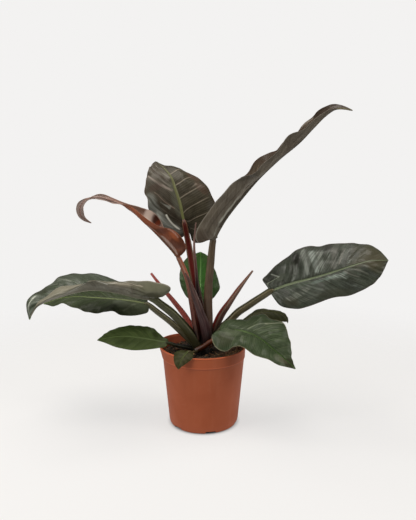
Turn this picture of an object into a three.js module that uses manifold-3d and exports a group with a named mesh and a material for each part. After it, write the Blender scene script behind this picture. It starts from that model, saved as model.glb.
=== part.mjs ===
// A potted imperial red philodendron: a rosette of long leaves, from dark bronze-green to the
// orange-red of the newest, in a terracotta-coloured plastic nursery pot full of potting soil.
// Units are millimetres, +Z is up, and the origin is the centre of the pot's flat underside.
// The plant's front is -Y, its left is -X and its right is +X.
import * as THREE from "three";
import { mergeVertices } from "three/addons/utils/BufferGeometryUtils.js";
import Module from "manifold-3d";

const wasm = await Module();
wasm.setup();

// Driving dimensions of the pot
const POT_HEIGHT = 161;
const RIM_RADIUS = 85.6;
const COLLAR_HEIGHT = 23;
const COLLAR_STEP = 1.6;
const FOOT_RADIUS = 70.2;
const CORNER_RADIUS = 6;
const WALL = 1.6;
const FLOOR = 2.4;
const POT_SIDES = 40;
const DRAIN_NOTCHES = 6;
const NOTCH_WIDTH = 22;
const NOTCH_HEIGHT = 5.5;
const NOTCH_DEPTH = 14;
const FIRST_NOTCH_ANGLE = -78;

// The rim is pressed outwards and a little up on one side, round this direction
const FLARE = 9;
const FLARE_RISE = 4;
const FLARE_ANGLE = 155;
const FLARE_SPREAD = 45;
const FLARE_DEPTH = 20;

// Driving dimensions of the soil and of the short stem that carries every leaf
const SOIL_BELOW_RIM = 14;
const SOIL_LUMP = 1.6;
const SOIL_RINGS = 7;
const SOIL_SIDES = 28;
const CROWN_BOTTOM = 118;
const CROWN_TOP = 186;
const CROWN_RADIUS = 13;
const CROWN_RINGS = 6;
const CROWN_SIDES = 12;

// Clearance between pieces that touch
const GAP = 0.3;

// A blade's thickness, how far its two halves stay apart at the base and at the tip, and its
// midrib, which stands out below by a share of the stalk's depth and thins towards the tip
const BLADE_THICKNESS = 1;
const HALF_WIDTH_LEFT = 0.7;
const RIB_SHARE = 0.3;
const RIB_TAPER = 0.85;
const RIB_COLUMN = 0.08;

// The waves of a blade's two margins are this share of a crest out of step, and fade at both ends
const WAVE_OFFSET = 0.37;
const WAVE_FADE = 0.7;

// Stalks and spikes: their cross-sections, how late they taper, and their groove's depth
const STALK_STEPS = 9;
const STALK_SIDES = 8;
const STALK_FORM = { taper: 0.75, groove: 0.3 };
const SPIKE_FORM = { taper: 1.6, groove: 0.15 };

const COLOURS = {
  pot: 0x9a5338,
  soil: 0x2a211a,
  crown: 0x4a3327,
  bronze: 0x3b3a2b,
  green: 0x2f3f1e,
  bright: 0x35601d,
  orange: 0x8a4524,
  oliveStalk: 0x4a4029,
  redStalk: 0x5c1d17,
  rustStalk: 0x8a4a30,
  pinkStalk: 0x93605a,
  purpleStalk: 0x35202a,
};

// Every leaf, as points in millimetres: a stalk from the stem to the blade's base, the blade's
// midrib from its base to its tip, and its left and right margins between the same two ends, as
// seen from above with the tip pointing away.
// width and depth are the stalk's at its two ends, and channel is the way its groove faces.
// bulge arches each half off the straight line from midrib to margin, upwards where positive, as
// a share of that line, at the base, middle and tip. rush is below 1 where the side veins sweep
// forward. The margin's wave has a height in millimetres and a count of crests.
const LEAVES = [
  {
    name: "tall_right",
    blade: "bronze",
    stalkColour: "oliveStalk",
    stalk: [[8, -3, 176], [9, -6, 236], [10, -9, 278], [14, -12, 329], [19, -15, 377]],
    width: [23, 13],
    depth: [22, 12],
    channel: [-1, 0.6, 0.2],
    midrib: [
      [19, -15, 379], [30, -22, 402], [45, -30, 427], [69, -41, 459], [101, -56, 498],
      [136, -72, 533], [169, -88, 561], [191, -99, 585], [212, -110, 607], [231, -118, 618],
      [254, -125, 614],
    ],
    left: [
      [9, -2, 381], [-5, 12, 388], [1, 24, 414], [27, 24, 451], [57, 18, 483], [80, 10, 504],
      [98, 0, 527], [124, -12, 547], [143, -26, 553], [159, -40, 575], [177, -56, 588],
      [191, -67, 603], [202, -80, 617], [218, -94, 624], [236, -110, 625],
    ],
    right: [
      [7, -24, 381], [-10, -42, 378], [-14, -50, 395], [-2, -54, 421], [22, -62, 453],
      [47, -72, 485], [67, -82, 498], [89, -94, 510], [109, -103, 527], [129, -108, 548],
      [149, -114, 572], [168, -120, 581], [182, -124, 594], [200, -127, 607], [220, -126, 616],
    ],
    bulge: [[-0.05, -0.1, -0.1], [-0.12, -0.16, -0.12]],
    rush: [0.85, 0.85],
    wave: { height: 1.5, count: 7, phase: 0.15 },
    grid: [26, 8],
  },
  {
    name: "upper",
    blade: "bronze",
    stalkColour: "redStalk",
    stalk: [
      [-4, 7, 174], [-5, 11, 221], [-13, 16, 268], [-22, 21, 313], [-30, 27, 361], [-39, 30, 409],
    ],
    width: [21, 11],
    depth: [16, 8],
    channel: [0, -1, 0.1],
    midrib: [
      [-40, 31, 411], [-44, 37, 432], [-50, 45, 454], [-58, 54, 476], [-66, 65, 497],
      [-81, 84, 515], [-102, 112, 532],
    ],
    left: [
      [-44, 38, 391], [-50, 41, 377], [-68, 43, 385], [-91, 42, 401], [-110, 41, 431],
      [-113, 43, 455], [-119, 48, 468], [-118, 57, 486], [-116, 68, 506], [-111, 86, 523],
    ],
    right: [
      [-31, 39, 389], [-25, 42, 370], [-10, 45, 366], [9, 47, 386], [23, 48, 416], [23, 52, 447],
      [7, 64, 477], [-8, 74, 494], [-33, 88, 508], [-59, 100, 519], [-81, 110, 519],
    ],
    bulge: [[0.1, 0.07, 0.05], [0.1, 0.08, 0.08]],
    rush: [0.62, 0.8],
    wave: { height: 1.6, count: 5, phase: 0.4 },
    grid: [22, 8],
  },
  {
    name: "newest",
    blade: "orange",
    stalkColour: "rustStalk",
    stalk: [[-11, -8, 176], [-19, -9, 226], [-27, -10, 278], [-36, -10, 312], [-50, -8, 343.4]],
    width: [18, 10],
    depth: [15, 9],
    channel: [1, -0.6, 0.2],
    midrib: [
      [-50, -8, 344], [-63, -10, 361], [-84, -16, 385], [-108, -20, 410], [-133, -23, 434],
      [-158, -24, 451], [-182, -25, 459], [-203, -25, 463], [-222, -24, 460], [-235, -22, 448],
      [-238, -20, 436], [-235, -18, 424], [-218, -15, 412],
    ],
    left: [
      [-41, -14, 351], [-34, -20, 364], [-41, -25, 383], [-60, -30, 401], [-83, -36, 408],
      [-102, -37, 418], [-124, -34, 436], [-146, -30, 448], [-171, -27, 452], [-198, -26, 458],
      [-219, -25, 458], [-229, -23, 448], [-231, -21, 436], [-229, -18, 423],
    ],
    right: [
      [-57, 2, 363], [-73, 10, 386], [-85, 14, 415], [-102, 12, 432], [-126, 8, 442],
      [-148, -2, 448], [-172, -16, 460], [-198, -22, 468], [-219, -22, 462], [-238, -21, 454],
      [-245, -19, 441], [-242, -17, 426], [-232, -16, 417],
    ],
    bulge: [[-0.34, -0.2, 0], [-0.3, -0.2, 0]],
    rush: [0.92, 0.92],
    wave: { height: 0.8, count: 6, phase: 0.1 },
    grid: [28, 8],
  },
  {
    name: "right",
    blade: "bronze",
    stalkColour: "oliveStalk",
    stalk: [
      [15, -2, 168], [31, -3, 191], [50, -4, 210], [69, -7, 231], [89, -10, 246], [110, -15, 262],
      [131.6, -19.9, 277.6],
    ],
    width: [19, 13],
    depth: [19, 13],
    channel: [-0.6, -0.2, 1],
    midrib: [
      [132, -20, 278], [169, -30, 294], [206, -39, 306], [242, -48, 319], [278, -58, 334],
      [313, -66, 346], [345, -72, 348],
    ],
    left: [
      [124, -15, 288], [117, -8, 298], [127, -1, 308], [152, 6, 328], [184, 10, 354], [217, 7, 364],
      [249, 1, 370], [266, -6, 369], [288, -12, 371], [316, -24, 368], [339, -46, 358],
    ],
    right: [
      [137, -27, 268], [151, -40, 255], [173, -49, 251], [197, -56, 255], [220, -62, 265],
      [242, -67, 276], [272, -74, 281], [300, -78, 294], [327, -78, 316],
    ],
    bulge: [[0.1, 0.08, 0.06], [0.12, 0.1, 0.06]],
    rush: [0.8, 0.75],
    wave: { height: 2, count: 5, phase: 0.55 },
    grid: [22, 8],
  },
  {
    name: "left_folded",
    blade: "bronze",
    stalkColour: "oliveStalk",
    stalk: [
      [-10, -9, 160], [-25, -11, 186], [-42, -17, 210], [-60, -25, 233], [-79, -33, 251],
      [-97, -39.6, 267],
    ],
    width: [23, 13],
    depth: [23, 14],
    channel: [0.7, -0.2, 1],
    midrib: [
      [-98, -40, 268], [-122, -49, 273], [-151, -60, 283], [-179, -70, 291], [-207, -80, 295],
      [-235, -88, 292], [-264, -95, 284], [-288, -101, 276], [-305, -106, 266], [-318, -108, 244],
    ],
    left: [
      [-82, -40, 270], [-68, -40, 278], [-66, -40, 292], [-86, -42, 301], [-122, -46, 302],
      [-155, -56, 304], [-187, -67, 304], [-218, -79, 303], [-250, -89, 301], [-274, -96, 295],
      [-291, -101, 285], [-305, -105, 272],
    ],
    right: [
      [-89, -32, 277], [-80, -20, 287], [-103, -8, 292], [-140, 0, 290], [-170, 0, 294],
      [-198, -8, 305], [-227, -20, 314], [-255, -32, 314], [-279, -46, 309], [-300, -62, 295],
      [-314, -80, 284], [-323, -96, 276], [-322, -105, 261],
    ],
    bulge: [[-0.1, -1.2, -0.3], [0.08, 0.06, 0.04]],
    rush: [0.9, 0.85],
    wave: { height: 2.5, count: 4.4, phase: 0.2 },
    grid: [26, 8],
  },
  {
    name: "left_lower",
    blade: "green",
    stalkColour: "oliveStalk",
    stalk: [
      [-18, 4, 160], [-36, 8, 178], [-55, 11, 195], [-73, 14, 210], [-94, 18, 225],
      [-114.5, 19.8, 240.5],
    ],
    width: [16, 11],
    depth: [16, 11],
    channel: [0.7, -0.1, 1],
    midrib: [
      [-116, 20, 242], [-152, 22, 248], [-189, 25, 251], [-227, 28, 253], [-265, 32, 254],
      [-299, 34, 250], [-334, 36, 238],
    ],
    left: [
      [-112, 13, 235], [-116, 0, 228], [-139, -14, 228], [-164, -22, 230], [-183, -26, 238],
      [-208, -27, 236], [-234, -24, 236], [-258, -14, 245], [-284, 2, 245], [-312, 20, 239],
    ],
    right: [
      [-117, 30, 249], [-130, 46, 254], [-157, 62, 260], [-197, 74, 263], [-236, 78, 265],
      [-274, 74, 264], [-306, 62, 260], [-323, 48, 251],
    ],
    bulge: [[0.14, 0.1, 0.06], [0.1, 0.08, 0.06]],
    rush: [0.8, 0.8],
    wave: { height: 2, count: 4, phase: 0.3 },
    grid: [20, 8],
  },
  {
    name: "front_right",
    blade: "green",
    stalkColour: "rustStalk",
    stalk: [[-13, -18, 156], [1, -24, 166], [15, -30, 178], [31, -36, 190], [44.6, -39.6, 200]],
    width: [13, 8],
    depth: [10, 7],
    channel: [-0.3, 0.3, 1],
    midrib: [
      [46, -40, 201], [65, -48, 205], [84, -56, 204], [103, -66, 198], [119, -76, 189],
      [137, -88, 176], [155, -100, 163], [171, -110, 150],
    ],
    left: [
      [37, -36, 202], [32, -30, 205], [38, -24, 211], [53, -18, 218], [85, -18, 218],
      [104, -22, 227], [120, -27, 232], [136, -38, 225], [154, -54, 222], [162, -70, 205],
      [165, -84, 184], [166, -99, 164],
    ],
    right: [
      [30, -46, 201], [17, -55, 197], [22, -66, 180], [40, -76, 173], [58, -84, 185],
      [75, -92, 185], [98, -101, 174], [124, -108, 166], [149, -113, 157],
    ],
    bulge: [[0.12, 0.16, 0.08], [0.22, 0.14, 0.08]],
    rush: [0.7, 0.8],
    wave: { height: 1.5, count: 4, phase: 0.1 },
    grid: [20, 8],
  },
  {
    name: "low_right",
    blade: "green",
    stalkColour: "rustStalk",
    stalk: [[8, 5, 155], [32, 16, 166], [50, 22, 182], [70.8, 27.6, 196]],
    width: [11, 7],
    depth: [9, 6],
    channel: [-0.4, -0.2, 1],
    midrib: [
      [72, 28, 197], [97, 32, 211], [122, 34, 220], [147, 34, 220], [166, 33, 214], [176, 32, 198],
    ],
    left: [
      [77, 38, 199], [98, 52, 210], [124, 60, 220], [152, 60, 219], [172, 50, 213], [177, 40, 205],
    ],
    right: [
      [67, 20, 193], [81, 8, 194], [102, 0, 202], [129, -2, 209], [154, 6, 209], [173, 22, 203],
    ],
    bulge: [[0.12, 0.12, 0.06], [0.12, 0.12, 0.06]],
    rush: [0.85, 0.85],
    wave: { height: 1, count: 3, phase: 0.2 },
    grid: [12, 6],
  },
  {
    name: "low_left",
    blade: "green",
    stalkColour: "oliveStalk",
    stalk: [[-20, -6, 155], [-38, -7, 159], [-56, -8, 163], [-73, -11.7, 169.6]],
    width: [12, 8],
    depth: [9, 6],
    channel: [0.4, -0.1, 1],
    midrib: [
      [-74, -12, 170], [-96, -15, 175], [-123, -19, 181], [-151, -22, 185], [-180, -26, 185],
      [-211, -29, 180],
    ],
    left: [
      [-75, -20, 165], [-93, -28, 164], [-118, -34, 162], [-141, -37, 163], [-169, -38, 168],
      [-193, -34, 176],
    ],
    right: [
      [-72, -8, 175], [-84, -3, 180], [-103, 3, 194], [-124, 4, 199], [-150, 0, 201],
      [-175, -8, 198], [-196, -17, 191],
    ],
    bulge: [[0.1, 0.08, 0.05], [0.1, 0.08, 0.05]],
    rush: [0.85, 0.85],
    wave: { height: 0.8, count: 3, phase: 0.35 },
    grid: [14, 6],
  },
  {
    name: "over_rim",
    blade: "green",
    stalkColour: "oliveStalk",
    stalk: [[-11, -16, 154], [-17, -34, 158], [-22, -52, 163], [-27.3, -66.6, 169.4]],
    width: [9, 5],
    depth: [7, 4],
    channel: [0, 0.3, 1],
    midrib: [[-28, -68, 170], [-35, -77, 166], [-42, -86, 157], [-47, -92, 143]],
    left: [[-21, -68, 169], [-20, -78, 165], [-22, -86, 161], [-29, -89, 156], [-40, -92, 149]],
    right: [[-37, -66, 172], [-51, -68, 170], [-56, -76, 162], [-53, -88, 151]],
    bulge: [[0.1, 0.1, 0.05], [0.1, 0.1, 0.05]],
    rush: [0.9, 0.9],
    wave: { height: 0.4, count: 2, phase: 0.2 },
    grid: [12, 6],
  },
  {
    name: "rear",
    blade: "bright",
    stalkColour: "oliveStalk",
    stalk: [[-1, 14, 158], [-6, 34, 180], [-8, 54, 205], [-8, 67.4, 231]],
    width: [13, 7],
    depth: [10, 6],
    channel: [0, -1, 0.6],
    midrib: [[-8, 68, 232], [-8, 75, 259], [-8, 85, 288], [-7, 95, 315], [-7, 104, 338]],
    left: [
      [-19, 70, 233], [-35, 73, 243], [-47, 79, 261], [-52, 86, 284], [-47, 93, 309],
      [-32, 100, 329],
    ],
    right: [
      [3, 70, 233], [19, 73, 241], [34, 79, 261], [31, 85, 279], [22, 93, 303], [9, 100, 328],
    ],
    bulge: [[0.1, 0.08, 0.05], [0.1, 0.08, 0.05]],
    rush: [0.8, 0.8],
    wave: { height: 0.8, count: 3, phase: 0.2 },
    grid: [14, 6],
  },
];

// The pointed sheaths and the rolled new leaf between the stalks
const SPIKES = [
  {
    name: "sheath_front",
    colour: "purpleStalk",
    stalk: [
      [10, -16, 172], [3, -18, 206], [-5, -20, 231], [-13, -22, 256], [-21, -22, 280],
      [-28, -22, 299], [-36, -22, 315],
    ],
    width: [22, 3],
    depth: [11, 2],
    channel: [0, 1, 0.2],
  },
  {
    name: "sheath_left",
    colour: "redStalk",
    stalk: [[-12, 15, 170], [-34, 23, 209], [-56, 29, 238], [-83, 34, 270], [-109, 38, 303]],
    width: [12, 5],
    depth: [14, 5],
    channel: [0.7, 0, 1],
  },
  {
    name: "sheath_right",
    colour: "redStalk",
    stalk: [[15, 6, 172], [33, 13, 216], [53, 15, 247], [75, 17, 279], [100, 18, 312]],
    width: [13, 4],
    depth: [19, 3.6],
    channel: [-0.7, 0, 1],
  },
  {
    name: "new_leaf_roll",
    colour: "pinkStalk",
    stalk: [
      [-6, 3, 192], [-9, 3, 244], [-13, -2, 292], [-16, -10, 334], [-18, -20, 372], [-14, -28, 414],
    ],
    width: [9, 2.4],
    depth: [8, 2.4],
    channel: [0, -1, 0.1],
  },
];

const vector = ([x, y, z]) => new THREE.Vector3(x, y, z);
const curveThrough = (points) =>
  new THREE.CatmullRomCurve3(points.map(vector), false, "catmullrom", 0.5);

// A value that runs through three given ones, at 0, a half and 1
function through([first, middle, last], u) {
  return first * (2 * u - 1) * (u - 1) + middle * 4 * u * (1 - u) + last * u * (2 * u - 1);
}

// The three curves that a blade hangs on
function curvesOf(leaf) {
  const ends = [leaf.midrib[0], leaf.midrib.at(-1)];
  return {
    midrib: curveThrough(leaf.midrib),
    margins: [leaf.left, leaf.right].map((side) => curveThrough([ends[0], ...side, ends[1]])),
  };
}

// The point of a blade's left (0) or right (1) margin that the side veins from u on the midrib
// reach
function marginPoint(leaf, curves, half, u) {
  return curves.margins[half].getPointAt(Math.pow(u, leaf.rush[half]));
}

// The way from a blade's left to its right, square to the midrib
function sidewaysAt(leaf, curves, u, along) {
  const inner = THREE.MathUtils.clamp(u, 0.03, 0.97);
  const side = marginPoint(leaf, curves, 1, inner).sub(marginPoint(leaf, curves, 0, inner));
  return side.addScaledVector(along, -side.dot(along)).normalize();
}

// A point on the middle of a blade's thickness: u runs from base to tip, v from -1 to 1 across
function bladePoint(leaf, curves, u, v, grow) {
  const half = v < 0 ? 0 : 1;
  const sign = v < 0 ? -1 : 1;
  const reach = Math.abs(v);
  const middle = curves.midrib.getPointAt(u);
  const along = curves.midrib.getTangentAt(u);
  const chord = marginPoint(leaf, curves, half, u).sub(middle);
  chord.addScaledVector(sidewaysAt(leaf, curves, u, along), sign * HALF_WIDTH_LEFT);
  const length = chord.length();
  chord.multiplyScalar((length + grow) / length);
  const face = new THREE.Vector3().crossVectors(chord, along).multiplyScalar(sign).normalize();
  const { height, count, phase } = leaf.wave;
  const swing = Math.sin(2 * Math.PI * (count * u + phase + WAVE_OFFSET * half));
  const fade = Math.pow(Math.sin(Math.PI * u), WAVE_FADE);
  const arch = through(leaf.bulge[half], u) * length * 4 * reach * (1 - reach);
  return middle
    .addScaledVector(chord, reach)
    .addScaledVector(face, arch + height * swing * fade * reach * reach)
    .addScaledVector(along, grow * (2 * u - 1));
}

// Columns across a blade: a narrow pair at the midrib, then evenly out to both margins
function columnsOf(count) {
  const half = count / 2;
  const right = Array.from({ length: half }, (_, i) => (i === 0 ? RIB_COLUMN : i / (half - 1)));
  return [...right.map((v) => -v).reverse(), 0, ...right];
}

// A closed blade: an upper and a lower skin split alike and joined round the edge, with the
// midrib standing out below
function bladeGeometry(leaf, grow = 0) {
  const [rows] = leaf.grid;
  const columns = columnsOf(leaf.grid[1]);
  const curves = curvesOf(leaf);
  const step = 1e-3;
  const upper = [];
  const lower = [];
  for (let row = 0; row <= rows; row++) {
    const u = row / rows;
    for (const v of columns) {
      const at = (du, dv) => {
        const nearU = THREE.MathUtils.clamp(u + du, 0, 1);
        const nearV = THREE.MathUtils.clamp(v + dv, -1, 1);
        return bladePoint(leaf, curves, nearU, nearV, grow);
      };
      const alongU = at(step, 0).sub(at(-step, 0));
      const alongV = at(0, step).sub(at(0, -step));
      const normal = new THREE.Vector3().crossVectors(alongV, alongU).normalize();
      const rib = v === 0 ? RIB_SHARE * leaf.depth[1] * (1 - RIB_TAPER * u) : 0;
      const middle = at(0, 0);
      upper.push(middle.clone().addScaledVector(normal, BLADE_THICKNESS / 2 + grow));
      lower.push(middle.clone().addScaledVector(normal, -BLADE_THICKNESS / 2 - rib - grow));
    }
  }
  return skinsGeometry(upper, lower, rows, columns.length - 1);
}

// Joins two grids of points, each (rows + 1) by (columns + 1), into one closed geometry
function skinsGeometry(upper, lower, rows, columns) {
  const wide = columns + 1;
  const total = upper.length;
  const index = [];
  for (let row = 0; row < rows; row++)
    for (let column = 0; column < columns; column++) {
      const a = row * wide + column;
      const [b, c, d] = [a + 1, a + wide + 1, a + wide];
      index.push(a, b, c, a, c, d);
      index.push(total + a, total + c, total + b, total + a, total + d, total + c);
    }
  const rim = [];
  for (let column = 0; column < columns; column++) rim.push(column);
  for (let row = 0; row < rows; row++) rim.push(row * wide + columns);
  for (let column = columns; column > 0; column--) rim.push(rows * wide + column);
  for (let row = rows; row > 0; row--) rim.push(row * wide);
  rim.forEach((from, i) => {
    const to = rim[(i + 1) % rim.length];
    index.push(from, total + from, total + to, from, total + to, to);
  });
  return indexedGeometry([...upper, ...lower], index);
}

function indexedGeometry(points, index) {
  const geometry = new THREE.BufferGeometry();
  const flat = points.flatMap((point) => point.toArray());
  geometry.setAttribute("position", new THREE.Float32BufferAttribute(flat, 3));
  geometry.setIndex(index);
  return geometry;
}

// A tapered stalk with a groove along one side
function stalkGeometry({ stalk, width, depth, channel }, form, grow = 0) {
  const steps = STALK_STEPS;
  const sides = STALK_SIDES;
  const curve = curveThrough(stalk);
  const towards = vector(channel);
  const rings = [];
  for (let step = 0; step <= steps; step++) {
    const u = step / steps;
    const point = curve.getPointAt(u);
    const along = curve.getTangentAt(u);
    const normal = towards.clone().addScaledVector(along, -towards.dot(along)).normalize();
    const side = new THREE.Vector3().crossVectors(along, normal);
    const ease = Math.pow(u, form.taper);
    const halfWidth = THREE.MathUtils.lerp(width[0], width[1], ease) / 2 + grow;
    const halfDepth = THREE.MathUtils.lerp(depth[0], depth[1], ease) / 2 + grow;
    for (let k = 0; k < sides; k++) {
      const angle = (2 * Math.PI * k) / sides;
      const sunk = Math.sin(angle) > 0.9 ? 1 - form.groove : 1;
      rings.push(
        point
          .clone()
          .addScaledVector(side, halfWidth * Math.cos(angle))
          .addScaledVector(normal, halfDepth * Math.sin(angle) * sunk),
      );
    }
  }
  const index = [];
  for (let step = 0; step < steps; step++)
    for (let k = 0; k < sides; k++) {
      const a = step * sides + k;
      const b = step * sides + ((k + 1) % sides);
      index.push(a, b + sides, b, a, a + sides, b + sides);
    }
  const last = steps * sides;
  for (let k = 1; k < sides - 1; k++) {
    index.push(0, k, k + 1);
    index.push(last, last + k + 1, last + k);
  }
  return indexedGeometry(rings, index);
}

// A closed geometry as a solid for joining and cutting
function solidOf(geometry) {
  const bare = geometry.clone();
  bare.deleteAttribute("normal");
  bare.deleteAttribute("uv");
  const merged = mergeVertices(bare, 1e-3);
  return new wasm.Manifold(
    new wasm.Mesh({
      numProp: 3,
      vertProperties: new Float32Array(merged.attributes.position.array),
      triVerts: new Uint32Array(merged.index.array),
    }),
  );
}

// The largest body of a solid, back as a geometry
function geometryOf(solid) {
  const [largest] = solid.decompose().sort((a, b) => b.volume() - a.volume());
  const mesh = largest.getMesh();
  const geometry = new THREE.BufferGeometry();
  geometry.setAttribute("position", new THREE.Float32BufferAttribute(mesh.vertProperties, 3));
  geometry.setIndex(new THREE.Uint32BufferAttribute(mesh.triVerts, 1));
  return geometry;
}

const plant = new THREE.Group();
function add(name, geometry, colour, roughness = 0.5) {
  geometry.computeVertexNormals();
  const material = new THREE.MeshStandardMaterial({ color: COLOURS[colour], roughness });
  const mesh = new THREE.Mesh(geometry, material);
  mesh.name = name;
  plant.add(mesh);
}

// The pot's outer radius at a height on its tapered body, under the collar
const BODY_TOP = POT_HEIGHT - COLLAR_HEIGHT;
const BODY_TOP_RADIUS = RIM_RADIUS - 1 - COLLAR_STEP;
function bodyRadius(z) {
  return THREE.MathUtils.mapLinear(z, 0, BODY_TOP, FOOT_RADIUS, BODY_TOP_RADIUS);
}

function latheOf(profile, sides) {
  const body = new THREE.LatheGeometry(profile.map(([x, y]) => new THREE.Vector2(x, y)), sides);
  return body.rotateX(Math.PI / 2);
}

// The nursery pot: one wall turned about its axis, with a stepped collar and drainage notches
function potGeometry() {
  const corner = CORNER_RADIUS;
  const shell = latheOf(
    [
      [0, 0],
      [FOOT_RADIUS - corner, 0],
      [FOOT_RADIUS - corner * 0.3, corner * 0.3],
      [bodyRadius(corner), corner],
      [BODY_TOP_RADIUS, BODY_TOP],
      [RIM_RADIUS - 1, BODY_TOP + COLLAR_STEP],
      [RIM_RADIUS - 0.6, POT_HEIGHT - 3],
      [RIM_RADIUS, POT_HEIGHT - 2.2],
      [RIM_RADIUS - 0.3, POT_HEIGHT],
      [RIM_RADIUS - WALL - 0.8, POT_HEIGHT],
      [RIM_RADIUS - WALL - 1, BODY_TOP + COLLAR_STEP],
      [BODY_TOP_RADIUS - WALL, BODY_TOP - 1],
      [bodyRadius(corner) - WALL, corner],
      [FOOT_RADIUS - corner, FLOOR],
      [0, FLOOR],
    ],
    POT_SIDES,
  );
  const at = shell.attributes.position;
  for (let i = 0; i < at.count; i++) {
    const azimuth = THREE.MathUtils.radToDeg(Math.atan2(at.getY(i), at.getX(i)));
    const off = THREE.MathUtils.euclideanModulo(azimuth - FLARE_ANGLE + 180, 360) - 180;
    const high = THREE.MathUtils.smoothstep(at.getZ(i), POT_HEIGHT - FLARE_DEPTH, POT_HEIGHT);
    const share = Math.exp(-((off / FLARE_SPREAD) ** 2)) * high;
    const out = 1 + (FLARE * share) / RIM_RADIUS;
    at.setXYZ(i, at.getX(i) * out, at.getY(i) * out, at.getZ(i) + FLARE_RISE * share);
  }
  let pot = solidOf(shell);
  for (let i = 0; i < DRAIN_NOTCHES; i++) {
    const notch = new THREE.BoxGeometry(NOTCH_DEPTH, NOTCH_WIDTH, 2 * NOTCH_HEIGHT);
    notch.translate(FOOT_RADIUS - NOTCH_DEPTH / 2 + 1, 0, 0);
    notch.rotateZ(THREE.MathUtils.degToRad(FIRST_NOTCH_ANGLE + (i * 360) / DRAIN_NOTCHES));
    pot = pot.subtract(solidOf(notch));
  }
  return geometryOf(pot);
}

// The soil's height at a place: low lumps round a level a little under the rim
function soilHeight(x, y) {
  const lumps = Math.sin(x / 7.1 + 1.3) * Math.cos(y / 8.3) + 0.6 * Math.sin(x / 3.9 - y / 4.7);
  return POT_HEIGHT - SOIL_BELOW_RIM + SOIL_LUMP * lumps;
}

// The soil: everything inside the pot up to its lumpy top, with a plain hole for the stem
function soilGeometry(crown) {
  const top = POT_HEIGHT - SOIL_BELOW_RIM;
  const innerRadius = (z) => bodyRadius(z) - WALL - GAP;
  const collarRadius = RIM_RADIUS - WALL - 1.4 - GAP;
  const rings = Array.from({ length: SOIL_RINGS }, (_, i) => [
    collarRadius * (1 - (i + 0.4) / SOIL_RINGS),
    top,
  ]);
  const body = latheOf(
    [
      [0, FLOOR + GAP],
      [FOOT_RADIUS - CORNER_RADIUS - GAP, FLOOR + GAP],
      [innerRadius(CORNER_RADIUS), CORNER_RADIUS],
      [innerRadius(BODY_TOP - 1) - GAP, BODY_TOP - 1],
      [collarRadius, BODY_TOP + COLLAR_STEP + GAP],
      [collarRadius, top - 2 * SOIL_LUMP],
      ...rings,
      [0, top],
    ],
    SOIL_SIDES,
  );
  const at = body.attributes.position;
  for (let i = 0; i < at.count; i++)
    if (at.getZ(i) > top - 0.5) at.setZ(i, soilHeight(at.getX(i), at.getY(i)));
  return geometryOf(solidOf(body).subtract(crown));
}

// The short stem in the middle, ringed by the scars of old leaves; it stands in the soil
function crownGeometry(grow = 0) {
  const profile = [[0, CROWN_BOTTOM - grow]];
  for (let i = 0; i <= CROWN_RINGS; i++) {
    const end = i === 0 ? -grow : i === CROWN_RINGS ? grow : 0;
    const taper = i < 2 ? 0.8 + 0.1 * i : 1 - 0.07 * (i - 2);
    const ridge = i % 2 ? 1.06 : 0.96;
    const z = THREE.MathUtils.lerp(CROWN_BOTTOM, CROWN_TOP, i / CROWN_RINGS) + end;
    profile.push([CROWN_RADIUS * taper * ridge + grow, z]);
  }
  profile.push([0, CROWN_TOP + grow]);
  return latheOf(profile, CROWN_SIDES);
}

const crownClearance = solidOf(crownGeometry(GAP));
add("nursery_pot", potGeometry(), "pot", 0.55);
add("potting_soil", soilGeometry(crownClearance), "soil", 0.95);
add("crown_stem", crownGeometry(), "crown", 0.7);

// Every stalk gives way to the stem, to the stalks nearer the middle and to its own blade
const placed = [crownClearance];
function addStalk(name, shape, form, colour, blade) {
  let stalk = solidOf(stalkGeometry(shape, form));
  for (const other of placed) stalk = stalk.subtract(other);
  if (blade) stalk = stalk.subtract(blade);
  placed.push(solidOf(stalkGeometry(shape, form, GAP)));
  add(name, geometryOf(stalk), colour);
}

// From the middle of the plant outwards
const OUTWARDS = [
  "tall_right", "upper", "newest", "sheath_front", "new_leaf_roll", "right", "sheath_right",
  "left_folded", "sheath_left", "left_lower", "front_right", "low_right", "rear", "low_left",
  "over_rim",
];
for (const name of OUTWARDS) {
  const spike = SPIKES.find((one) => one.name === name);
  const leaf = LEAVES.find((one) => one.name === name);
  if (spike) addStalk(name, spike, SPIKE_FORM, spike.colour);
  if (!leaf) continue;
  add("blade_" + name, bladeGeometry(leaf), leaf.blade, 0.4);
  addStalk("stalk_" + name, leaf, STALK_FORM, leaf.stalkColour, solidOf(bladeGeometry(leaf, GAP)));
}

export default plant;
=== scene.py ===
# The looks of a potted imperial red philodendron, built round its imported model. The tables hold
# millimetres and sRGB colours; meshes are made in metres, with +Z up and the front towards -Y.
import logging
import math
from collections.abc import Mapping, Sequence
from dataclasses import dataclass, field, replace
from enum import Enum
from typing import Any, Union

import bpy
import numpy as np
from mathutils import Euler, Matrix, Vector


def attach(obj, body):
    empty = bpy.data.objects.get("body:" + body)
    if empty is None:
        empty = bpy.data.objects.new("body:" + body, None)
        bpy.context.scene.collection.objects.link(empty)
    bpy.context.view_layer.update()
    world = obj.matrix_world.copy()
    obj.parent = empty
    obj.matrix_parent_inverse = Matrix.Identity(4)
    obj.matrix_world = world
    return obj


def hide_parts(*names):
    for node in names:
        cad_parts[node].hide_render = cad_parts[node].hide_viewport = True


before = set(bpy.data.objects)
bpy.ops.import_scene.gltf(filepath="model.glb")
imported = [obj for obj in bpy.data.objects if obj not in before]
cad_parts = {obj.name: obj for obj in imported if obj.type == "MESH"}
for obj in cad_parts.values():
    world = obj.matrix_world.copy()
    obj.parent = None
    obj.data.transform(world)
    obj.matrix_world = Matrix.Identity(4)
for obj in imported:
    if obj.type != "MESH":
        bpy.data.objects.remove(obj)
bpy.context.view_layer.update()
BODY = "root"
MM = 0.001

Array = np.ndarray
Colour = tuple[int, int, int]
Point = tuple[float, float, float]
Value = Union[float, tuple, "Socket"]

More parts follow.
